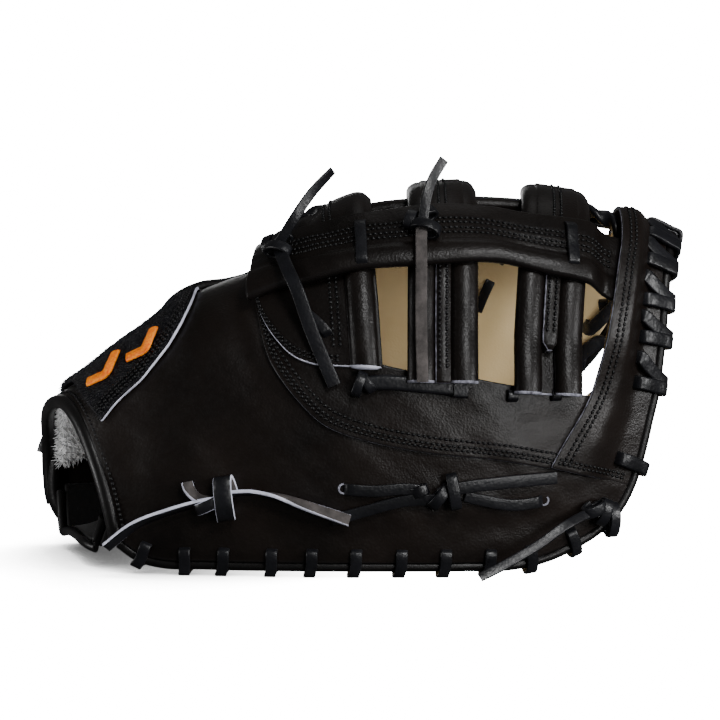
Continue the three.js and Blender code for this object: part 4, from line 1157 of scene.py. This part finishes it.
def cutWindow(piece):
    flat = [(toX(a), toZ(up)) for a, up in window["rows"]]
    points = [(x, y, z) for y in (window["far"], -2 * skin["half"]) for x, z in flat]
    count = len(flat)
    faces = [list(range(count)), list(range(count, 2 * count))[::-1]]
    faces += [[k, k + count, (k + 1) % count + count, (k + 1) % count] for k in range(count)]
    block = meshObject("window", points, faces, [tanLeather])
    cut = piece.modifiers.new("window", "BOOLEAN")
    cut.operation = "DIFFERENCE"
    cut.object = block
    cut.solver = "EXACT"
    graph = bpy.context.evaluated_depsgraph_get()
    mesh = bpy.data.meshes.new_from_object(piece.evaluated_get(graph))
    piece.modifiers.clear()
    piece.data = mesh
    mesh.materials.clear()
    mesh.materials.append(tanLeather)
    mesh.polygons.foreach_set("material_index", [0] * len(mesh.polygons))
    bpy.data.objects.remove(block)


palmPiece = leatherSheet("palmPad", palmPanel, 110, 96, lambda u, s: -palmHalf(u, s), palmHalf,
                         [tanLeather, tanLeather], soft=0)
cutWindow(palmPiece)
dress(palmPiece, "tan_leather", "palm")
print("palm made")

# Wrist strap, its motif, the lining and the bindings
wristStrap = prepare({
    "lower": onThumb((0.108, 0.412), (0.134, 0.469), (0.167, 0.521), (0.189, 0.571), (0.216, 0.633),
                     (0.236, 0.697), (0.247, 1)),
    "upper": onFinger((0.03, 0.36), (0.08, 0.42), (0.13, 0.5), (0.18, 0.58), (0.235, 0.66)),
    "left": onThumb((0.108, 0.412), (0.087, 0.452), (0.064, 0.486),
                    (0.05, 1)) + onFinger((0.03, 0.44), (0.03, 0.36)),
    "right": onThumb((0.247, 1)) + onFinger((0.243, 0.72), (0.235, 0.66)),
})
strap = {"edgeDrape": 0.35, "columns": 60, "rows": 80, "seams": (0.0024, 0.0046, 0.0068),
         "threadOut": 0.0009}
hair = {"Density": 1150000.0, "Long": 0.0028, "Thick": 0.00028, "Lean": (-2.4, 0.2, -1.9),
        "Stray": 0.32}


def strapStand(u, s):
    settled = smooth(4 * np.minimum(s, 1 - u))
    return overBack + drape * (strap["edgeDrape"] + (1 - strap["edgeDrape"]) * settled)


def strapOuter(u, s):
    return strapStand(u, s) + leather


def strapThread(u, s):
    return strapOuter(u, s) + strap["threadOut"]


# Pile over the outer or the inner cells of a leather sheet; it stands for the same node
def pileOn(name, piece, spec, inner, settings, material, slotName, node):
    base = linked(name, piece.data.copy())
    cells = (len(gridLine(spec["columns"])) - 1) * (len(gridLine(spec["rows"])) - 1)
    trim = bmesh.new()
    trim.from_mesh(base.data)
    trim.faces.ensure_lookup_table()
    bmesh.ops.delete(trim, geom=[f for f in trim.faces if (f.index < cells) == inner],
                     context="FACES")
    trim.to_mesh(base.data)
    trim.free()
    dress(bakeTree(base, pileTree, {**settings, "Finish": material}), slotName, node)


strapPiece = dress(leatherSheet("wristStrap", wristStrap, strap["columns"], strap["rows"], strapStand,
                                strapOuter, [hideLeather, cutEdge], pale=("lower", "upper"),
                                paleSteps=(1, 2)), "hair_on_hide", "wrist_strap")
stitches("strapStitches", [seamLine(wristStrap, "lower", d, strapThread, 0.02, 0.98)
                           for d in strap["seams"]], "hair_on_hide")
pileOn("strapHair", strapPiece, strap, False, hair, hideHair, "hair_on_hide", "wrist_strap")

# The motif: two chevrons of satin stitch; move is how far each is set along from the first place
motif = {"thick": 0.0012, "over": 0.0002, "moves": (0.03, 0.09), "rise": 1.15,
         "chevron": [(0.061, 0.458), (0.074, 0.47), (0.087, 0.483), (0.0945, 0.507), (0.101, 0.532)]}
satin = {"Pitch": 0.00042, "Long": 0.0009, "Wide": 0.0074, "High": 0.0028, "Wobble": 0.05}
motifOut = overCollar + drape + motif["thick"] / 2 + motif["over"]
for k, move in enumerate(motif["moves"]):
    stations = [placeOn(a + move, up + motif["rise"] * move, near, motifOut)
                for a, up in motif["chevron"]]
    stitches(f"strapChevron{k + 1}", [smoothStations(stations)], "satin_thread",
             f"strap_chevron_{k + 1}", size=satin, thread=orangeThread)

lining = {"seat": 0.0033, "hem": 0.002, "thick": 0.006, "lumps": 0.0005, "columns": 70, "rows": 90}
pile = {"Density": 520000.0, "Long": 0.0038, "Thick": 0.0007, "Lean": (-0.2, 0.0, -0.2), "Stray": 0.7}
wristLining = prepare({
    "lower": onThumb((0.12, 0.24), (0.2, 0.28), (0.28, 0.36)),
    "upper": onFinger((0.008, 0.26), (0.12, 0.3), (0.24, 0.36)),
    "left": onThumb((0.12, 0.24), (0.101, 0.338), (0.088, 0.389), (0.07, 0.437), (0.049, 0.461),
                    (0.03, 1)) + onFinger((0.013, 0.4), (0.008, 0.26)),
    "right": onThumb((0.28, 0.36), (0.27, 1)) + onFinger((0.24, 0.36)),
})


def liningBack(u, s):
    return -lining["seat"] + lining["hem"] * (1 - smooth(4 * u))


def liningWave(u, s):
    lumps = lining["lumps"] * np.sin(u * 61 + 3 * np.sin(s * 17)) * np.cos(s * 83 + 2 * np.cos(u * 23))
    return -lining["seat"] - lining["thick"] * (0.78 + 0.18 * np.cos(s * 19) * np.cos(u * 9)) + lumps


liningPiece = leatherSheet("wristLining", wristLining, lining["columns"], lining["rows"], liningWave,
                           liningBack, [shearlingBack, shearlingBack], soft=0)
dress(liningPiece, "shearling", "wrist_lining")
pileOn("liningWool", liningPiece, lining, True, pile, wool, "shearling", "wrist_lining")


# Places along a border, out from the skin and down past the edge, with the way out and down there
def rimFrame(line, t, out, down, surface=backSkin):
    t = np.asarray(t, float)
    ax, av = line(np.maximum(0, t - probe["v"]))
    bx, bv = line(np.minimum(1, t + probe["v"]))
    tangent = unit(surface(bx, bv) - surface(ax, av))
    x, v = line(t)
    point, normal = offset(surface, x, v, 0 * x)
    away = unit(np.cross(tangent, normal))
    out = out + 0 * t
    down = down + 0 * t
    return point + normal * out[..., None] + away * down[..., None], normal, away


binding = {"radius": 0.0025, "wide": 0.0074, "thick": 0.0066, "corner": 0.0031, "in": 0.0004,
           "seam": 0.0028}
clear = binding["radius"] + 2 * seat
wristLine = border((wristThumb + wristFinger[1:-1] + onFinger((0.007, 0.128)))[::-1])
spot, normal, _ = rimFrame(wristLine, np.linspace(0, 1, 120), leather / 2, clear)
dress(bands("wristBinding", [(spot - normal * binding["in"], normal)], binding["wide"],
            binding["thick"], weltLeather, binding["corner"]), "black_leather", "wrist_binding")
spot, normal, _ = rimFrame(wristLine, np.linspace(0.02, 0.98, 160), leather, -binding["seam"])
stitches("wristStitches", [(spot, normal)])
spot, normal, _ = rimFrame(border(wristPalm), np.linspace(0.1, 0.9, 90), 0.0, -clear, palmSkin)
roundBand("heelBinding", "heel_binding", spot, normal, binding["radius"], weltLeather)
wholeRim = border(thumbRim + thumbTip[1:] + fingerTip[1:] + fingerRim[1:])
spot, normal, _ = rimFrame(wholeRim, np.linspace(0, 1, 400), -seat, welt["down"])
roundBand("rimWelt", "rim_welt", spot, normal, welt["radius"], weltLeather)
print("wrist and rim made")

# Rim lacing: pitch, out, down and turn of each point of one loop, as it leaves its hole
laceFront = leather + 2 * seat + lace["thick"] / 2
laceBack = -palm["seat"] - palm["edge"] - 10 * seat - lace["thick"] / 2
laceLow = 6 * seat + 2 * welt["radius"] + lace["thick"] / 2
turns = [(0.01, -0.0006, -lace["inset"] - 0.0006, -70),
         (0, laceFront - 0.0001, -lace["inset"] + 0.0006, -20),
         (-0.02, laceFront + 0.0005, welt["down"] - 0.001, 12),
         (-0.07, laceFront - 0.0005, laceLow - 0.001, 50), (-0.1, -seat, laceLow, 90),
         (-0.05, laceBack + 0.0003, laceLow - 0.001, 130),
         (0.1, laceBack - 0.0004, welt["down"], 165),
         (0.95, laceBack - 0.0001, -lace["inset"] + 0.0015, 190),
         (1, laceBack + 0.0012, -lace["inset"], 235)]


def stationPath(line, stations, samples):
    points = []
    normals = []
    for at, out, down, turn in stations:
        spot, normal, away = rimFrame(line, np.array([at]), out, down)
        angle = math.radians(turn)
        points.append(spot[0])
        normals.append(normal[0] * math.cos(angle) + away[0] * math.sin(angle))
    return smoothPath(points, normals, samples)


# deep stretches the way from the hole to the rim, raised is how far the panel stands out there
def rimLacePath(line, holes, spec):
    stations = []
    for k, hole in enumerate(holes):
        more = k + 1 < len(holes)
        gap = (holes[k + 1] if more else spec["last"]) - hole
        for pitch, out, down, turn in turns if more else turns[:-2]:
            reach = pitch if pitch > 0.5 else pitch * spec["lean"]
            inside = down < 0 and out > -0.001
            over = spec["raised"] if inside and out > 0 else 0
            stations.append((hole + gap * reach, out + over, down * (spec["deep"] if inside else 1),
                             turn))
    return stationPath(line, stations, 7)


# The second leg that crosses under a loop of the tip: share along the rim, out, down, turn
def crossLeg(line, hole, edge):
    return stationPath(line, [
        (hole, 0.001, -0.0125, -60), (hole, laceFront + 0.0018, -0.0108, -15),
        (0.6 * hole + 0.4 * edge, laceFront + 0.0014, -0.0055, 0),
        (0.2 * hole + 0.8 * edge, laceFront - 0.0001, 0.002, 15),
        (edge, laceFront - 0.0012, laceLow - 0.0008, 55), (edge, -0.0005, laceLow - 0.0003, 90)], 6)


# The share of a border at one place along the mitt, or at one height on the thumb side
def shareAt(rows, along=None, up=None):
    t = np.linspace(0, 1, 2000)
    x, v = border(rows)(t)
    if up is None:
        return float(np.interp(toX(along), x, t))
    thumbSide = v < 1
    heights = backSkin(x[thumbSide], v[thumbSide])[..., 2]
    return float(np.interp(toZ(up), heights, t[thumbSide]))


thumbHoles = [shareAt(thumbRim, along=a) for a in (0.168, 0.232, 0.29, 0.363, 0.423, 0.489, 0.557,
                                                   0.623, 0.689, 0.752, 0.815, 0.862)]
tipHoles = [shareAt(tipRim, up=up) for up in (0.3, 0.51, 0.635, 0.734, 0.831, 0.89, 0.935)]
tipHoles += list(np.linspace(tipHoles[-1] + 0.07, 0.94, 5))
plainLace = {"last": 1, "lean": 1.0, "deep": 1.0, "raised": 0.0, "broad": 1.0, "legs": 0}
rimLaces = {
    "rimLaceThumb": {**plainLace, "node": "rim_lace_thumb", "rows": thumbRim, "holes": thumbHoles,
                     "last": 0.97},
    "rimLaceTip": {**plainLace, "node": "rim_lace_tip", "rows": tipRim, "holes": tipHoles,
                   "lean": 0.3, "deep": 1.75, "raised": 0.0022, "broad": 1.22, "legs": 5},
    "rimLaceFinger": {**plainLace, "node": "rim_lace_finger", "rows": fingerRim,
                      "holes": list(np.linspace(0.05, 0.93, 10))},
}
overFloor = 0.0001
for name, spec in rimLaces.items():
    line = border(spec["rows"])
    holes = spec["holes"]
    paths = [rimLacePath(line, holes, spec)]
    for k in range(1, spec["legs"] + 1):
        gap = holes[k + 1] - holes[k]
        paths.append(crossLeg(line, holes[k] + 0.52 * gap, holes[k] + 0.1 * gap))
    thicker = spec["broad"] ** 2
    obj = bands(name, paths, lace["width"] * spec["broad"], lace["thick"] * thicker, laceLeather,
                lace["corner"] * thicker)
    for vertex in obj.data.vertices:
        vertex.co.z = max(vertex.co.z, overFloor)
    dress(obj, "black_lace", spec["node"])
print("rims laced")


# Across and up on the skin at one place
def skinSides(normal):
    right = unit(np.cross(np.array([0, 0, 1.0]), normal))
    return right, unit(np.cross(normal, right))


# Knots: rings of flat lace wrapped round their own ends. tilt turns a ring in the surface, 90 lays
# it across; it laps a little over its own start.
def wrapRing(along, up, out, half, deep, tilt=0.0, drift=0.0):
    centre, normal = placeOn(along, up, near, out)
    right, rise = skinSides(normal)
    angle = math.radians(tilt)
    axis = rise * math.cos(angle) + right * math.sin(angle)
    side = right * math.cos(angle) - rise * math.sin(angle)
    t = np.linspace(-math.pi * 1.02, math.pi * 1.02, 49)[:, None]
    points = (centre + axis * half * np.sin(t) + normal * deep * np.cos(t)
              + side * drift * t / math.pi)
    return points, unit(axis * deep * np.sin(t) + normal * half * np.cos(t))


def lacePath(rows, out):
    return smoothStations([placeOn(a, up, near, out + lace["thick"] / 2 + proud)
                           for a, up, proud in rows])


# A lace whose face turns down by an angle at each station
def tiltedLace(rows, out, tilts):
    path, faces = lacePath(rows, out)
    steps = np.linspace(0, 1, len(path))
    angles = np.radians(np.interp(steps, np.linspace(0, 1, len(tilts)), tilts))[:, None]
    rise = unit(np.array([0, 0, 1.0]) - faces * faces[:, 2:])
    return path, unit(faces * np.cos(angles) - rise * np.sin(angles))


towardThumb = unit(np.array([0, -1, 0.25]))


# A loose end that leaves a knot: along, up and depth of its points, turning as it goes
def freePath(start, rows, twist):
    points = [start] + [np.array([toX(a), depth * skin["half"], toZ(up)]) for a, up, depth in rows]
    path, _ = smoothPath(points, [towardThumb] * len(points))
    tangent = unit(np.gradient(path, axis=0))
    turn = twist * np.linspace(0, 1, len(path))[:, None] ** 1.3
    side = unit(np.cross(tangent, towardThumb))
    return path, unit(towardThumb * np.cos(turn) + side * np.sin(turn))


def joined(name, node, pieces):
    obj = joinPieces(pieces)
    obj.name = name
    return dress(obj, "black_lace", node)


ringThick = 0.0019


def rings(name, paths, width):
    return bands(name, paths, width, ringThick, laceLeather)


overRoll = overWebBase + rail["thick"]
leftKnot = (0.392, 0.832)
leftStart = placeOn(*leftKnot, near, overRoll + 0.0056)[0]
joined("railKnotLeft", "rail_knot_left", [
    bands("up", [freePath(leftStart, [(0.396, 0.975, -0.6), (0.421, 1.04, -0.56),
                                      (0.453, 1.102, -0.52)], 1.0)], 0.0052, 0.0016, laceLeather),
    bands("down", [lacePath([(0.392, 0.835, 0.0142), (0.402, 0.79, 0.0168), (0.414, 0.74, 0.0165),
                             (0.428, 0.657, 0.0115), (0.458, 0.524, 0.0064)], 0)],
          0.0068, 0.0016, laceLeather),
    rings("wraps", [wrapRing(0.39, 0.826, overRoll + 0.0042, 0.0072, 0.0042, 84, 0.001),
                    wrapRing(0.397, 0.85, overRoll + 0.0036, 0.0048, 0.0036, 40),
                    wrapRing(0.378, 0.84, overRoll + 0.003, 0.005, 0.0032, -30)], 0.0052)])
middleKnot = (0.589, 0.897)
middleStart = placeOn(*middleKnot, near, overRail + 0.0048)[0]
joined("railKnotMiddle", "rail_knot_middle", [
    bands("up", [freePath(middleStart, [(0.594, 1.035, -0.74), (0.604, 1.085, -0.7),
                                        (0.62, 1.133, -0.66)], 0.5)], 0.0052, 0.0016, laceLeather),
    bands("down", [lacePath([(0.587, 0.89, 0.0184), (0.5855, 0.86, 0.0204), (0.585, 0.815, 0.0202),
                             (0.584, 0.734, 0.0158), (0.584, 0.64, 0.0154),
                             (0.5845, 0.58, 0.0172), (0.585, 0.532, 0.0178)], 0)],
          0.0058, 0.0016, fleshSide),
    rings("wraps", [wrapRing(0.593, 0.885, overRail + 0.0044, 0.0068, 0.0042, 105, 0.001),
                    wrapRing(0.572, 0.905, overRail + 0.0028, 0.0046, 0.0032, 20),
                    wrapRing(0.597, 0.915, overRail + 0.0032, 0.004, 0.003, 60)], 0.0052)])
for name, node, along in (("railLaceLeft", "rail_lace_left", 0.502),
                          ("railLaceRight", "rail_lace_right", 0.8)):
    joined(name, node, [bands(name, [lacePath([(along, 0.812, -0.001), (along, 0.822, 0.0017),
                                               (along, 0.86, 0.001), (along, 0.895, 0.0012),
                                               (along, 0.906, -0.001)], overRail)],
                              0.0058, 0.0018, laceLeather)])
joined("webFootLace", "web_foot_lace", [
    bands("bar", [lacePath([(0.5, 0.53, 0.0012), (0.535, 0.533, 0.0016), (0.583, 0.526, 0.0016),
                            (0.645, 0.514, 0.0012)], overCollar)], 0.0076, 0.004, laceLeather, 0.0017),
    bands("block", [lacePath([(0.632, 0.516, 0.0018), (0.652, 0.513, 0.0018)], overCollar)],
          0.0086, 0.0056, laceLeather, 0.0012),
    rings("loop", [wrapRing(0.494, 0.528, overCollar + 0.0032, 0.0056, 0.004, 20),
                   wrapRing(0.505, 0.531, overCollar + 0.003, 0.0046, 0.0036, -35)], 0.0048)])
rimOut = laceFront + lace["thick"] + 0.003
rimStart = placeOn(0.836, 0.187, near, rimOut)[0]
joined("rimKnot", "rim_knot", [
    bands("tail", [freePath(rimStart, [(0.8, 0.15, -0.95), (0.757, 0.1, -1.02),
                                       (0.7, 0.045, -1.09), (0.671, 0.022, -1.13)], 0.3)],
          0.0048, 0.0017, laceLeather),
    rings("wraps", [wrapRing(0.838, 0.19, rimOut, 0.006, 0.0036, 65, 0.001),
                    wrapRing(0.852, 0.18, rimOut - 0.0006, 0.0062, 0.0036, 20),
                    wrapRing(0.868, 0.155, rimOut - 0.0026, 0.0082, 0.0044, 0)], 0.0056)])

# The two knotted laces on the thumb; the left one shows its raw edge and rough side
rawTail = {"width": 0.0058, "thick": 0.0018, "proud": 0.0032}
proud = rawTail["proud"]
joined("thumbLaceLeft", "thumb_lace_left", [
    rawLace("leftTail", tiltedLace([(0.3, 0.222, proud), (0.259, 0.21, proud),
                                    (0.211, 0.184, proud + 0.001), (0.163, 0.147, proud + 0.003),
                                    (0.122, 0.088, proud + 0.006)], overBack,
                                   (50, 55, 55, 50, 45)), rawTail["width"], rawTail["thick"]),
    rawLace("rightTail", tiltedLace([(0.3, 0.235, proud), (0.335, 0.24, proud),
                                     (0.37, 0.234, proud), (0.415, 0.208, proud),
                                     (0.479, 0.168, proud - 0.001)], overBack,
                                    (60, 66, 88, 122, 145)), rawTail["width"], rawTail["thick"]),
    rawLace("loop", tiltedLace([(0.237, 0.262, 0.0016), (0.242, 0.243, 0.003),
                                (0.254, 0.222, 0.003), (0.275, 0.215, 0.002)], overBack,
                               (100, 115, 120, 110)), rawTail["width"], rawTail["thick"]),
    rawLace("knotWrap", wrapRing(0.294, 0.222, overBack + 0.0036, 0.0104, 0.0036, -10, 0.0022),
            0.0092, 0.0018),
    rawLace("knotCross", wrapRing(0.27, 0.205, overBack + 0.0028, 0.007, 0.0036, 62, 0.001),
            0.006, 0.0018)])
joined("thumbLaceMiddle", "thumb_lace_middle", [
    bands("runs", [lacePath([(0.47, 0.25, -0.0016), (0.476, 0.25, 0.0008), (0.516, 0.246, 0.0012),
                             (0.563, 0.251, 0.0006), (0.59, 0.245, 0.0006)], overBack),
                   lacePath([(0.453, 0.166, 0.0006), (0.509, 0.195, 0.0006), (0.56, 0.219, 0.001),
                             (0.605, 0.224, 0.0022)], overBack),
                   lacePath([(0.65, 0.232, 0.001), (0.666, 0.224, 0.0012), (0.719, 0.206, 0.0016),
                             (0.757, 0.211, 0.001), (0.766, 0.213, -0.0014)], overBack)],
          0.0058, 0.0017, laceLeather),
    bands("tail", [lacePath([(0.61, 0.24, 0.0036), (0.64, 0.255, 0.0036), (0.704, 0.268, 0.0034),
                             (0.783, 0.277, 0.003)], overBack)], 0.0062, 0.0019, laceLeather),
    rings("wraps", [wrapRing(0.632, 0.247, overBack + 0.0044, 0.0085, 0.004, -12, 0.001),
                    wrapRing(0.612, 0.232, overBack + 0.0034, 0.0062, 0.0034, 40),
                    wrapRing(0.583, 0.246, overBack + 0.0012, 0.0036, 0.0022, 70)], 0.0056)])


# Twisted laces behind the rail and at the web's left top, and rolls over the wrist and the heel
def twisted(name, points, width, thick, turnCount, material=laceLeather):
    path, _ = smoothPath(points, [towardThumb] * len(points), 12)
    tangent = unit(np.gradient(path, axis=0))
    first = unit(np.cross(tangent, np.array([0, 1.0, 0])))
    second = unit(np.cross(tangent, first))
    turn = 2 * math.pi * turnCount * np.linspace(0, 1, len(path))[:, None]
    faces = unit(first * np.cos(turn) + second * np.sin(turn))
    return dress(bands(name, [(path, faces)], width, thick, material, thick * 0.45), "black_lace")


def farPoints(rows):
    return [placeOn(a, up, far, out)[0] for a, up, out in rows]


twisted("tipTwist", [(0.108, -0.002, 0.1795), (0.116, -0.006, 0.1815), (0.123, -0.01, 0.179),
                     (0.129, -0.014, 0.174), (0.133, -0.018, 0.166)], 0.0082, 0.0042, 1.3)
twisted("webTwist", [(-0.041, 0.002, 0.171), (-0.034, 0.0, 0.177), (-0.026, -0.002, 0.1805),
                     (-0.017, 0.0, 0.182)], 0.007, 0.0036, 1.0)
twisted("wristRoll", farPoints([(0.17, 0.59, 0.005), (0.19, 0.645, 0.006), (0.218, 0.7, 0.0068),
                                (0.248, 0.735, 0.0052), (0.285, 0.76, 0.002), (0.33, 0.79, 0.0)]),
        0.0075, 0.0066, 0.0, weltLeather)
twisted("heelRoll", farPoints([(0.003, 0.25, 0.0), (0.0, 0.2, 0.0), (0.0005, 0.155, 0.0),
                               (0.005, 0.118, -0.0005), (0.016, 0.086, -0.001),
                               (0.036, 0.06, -0.0012), (0.07, 0.048, -0.001)]),
        0.0098, 0.0088, 0.0, weltLeather)

# Short lace bits on the web base, at the right strip's foot, in the palm and behind the wrist
footBits = (0.718, 0.782)
palmBits = [(0.683, 1.6, 0.707, 1.49), (0.716, 1.42, 0.724, 1.39), (0.888, 1.52, 0.893, 1.56),
            (0.876, 1.6, 0.885, 1.58), (0.862, 1.66, 0.855, 1.7)]
palmBitRun = np.array([0, 0.15, 0.5, 0.85, 1.0])
palmBitLift = np.array([0.0, -0.0026, -0.0034, -0.0026, 0.0])
wristEndSteps = [(-0.0044, 0.001, -0.006), (-0.0066, 0.001, -0.0125)]
shortBits = [lacePath([(0.41, 0.724, -0.0015), (0.416, 0.708, 0.0012), (0.432, 0.687, 0.0018),
                       (0.447, 0.662, 0.0012), (0.45, 0.65, -0.0012)], overCollar + leather)]
for along in footBits:
    shortBits.append(lacePath([(along, 0.512, 0.001), (along, 0.5, 0.0024), (along, 0.488, 0.0022),
                               (along, 0.48, 0.0)], overBack + leather))
for a0, v0, a1, v1 in palmBits:
    x = toX(a0 + (a1 - a0) * palmBitRun)
    points, normals = offset(palmSkin, x, v0 + (v1 - v0) * palmBitRun, palmBitLift)
    shortBits.append(smoothPath(points, -normals, 8))
wristEnd = farPoints([(0.014, 0.35, 0.002), (0.006, 0.33, 0.0038)])
wristEnd += [wristEnd[1] + np.array(step) for step in wristEndSteps]
shortBits.append(smoothPath(wristEnd, [towardThumb] * 4, 8))
dress(bands("shortLaces", shortBits, 0.0052, 0.0017, laceLeather), "black_lace")

# Eyelets at the two ends of the middle thumb lace
eyelet = {"radius": 0.0024, "over": 0.0002, "steps": 25, "at": ((0.47, 0.25), (0.768, 0.213))}
holePaths = []
for along, up in eyelet["at"]:
    centre, normal = placeOn(along, up, near, leather + eyelet["over"])
    right, rise = skinSides(normal)
    t = np.linspace(0, 2 * math.pi, eyelet["steps"])[:, None]
    holePaths.append((centre + eyelet["radius"] * (right * np.cos(t) + rise * np.sin(t)),
                      np.repeat(normal[None], eyelet["steps"], 0)))
dress(bands("eyelets", holePaths, 0.001, 0.0006, wornEdge, 0.0002), "black_lace")
print("knots tied")
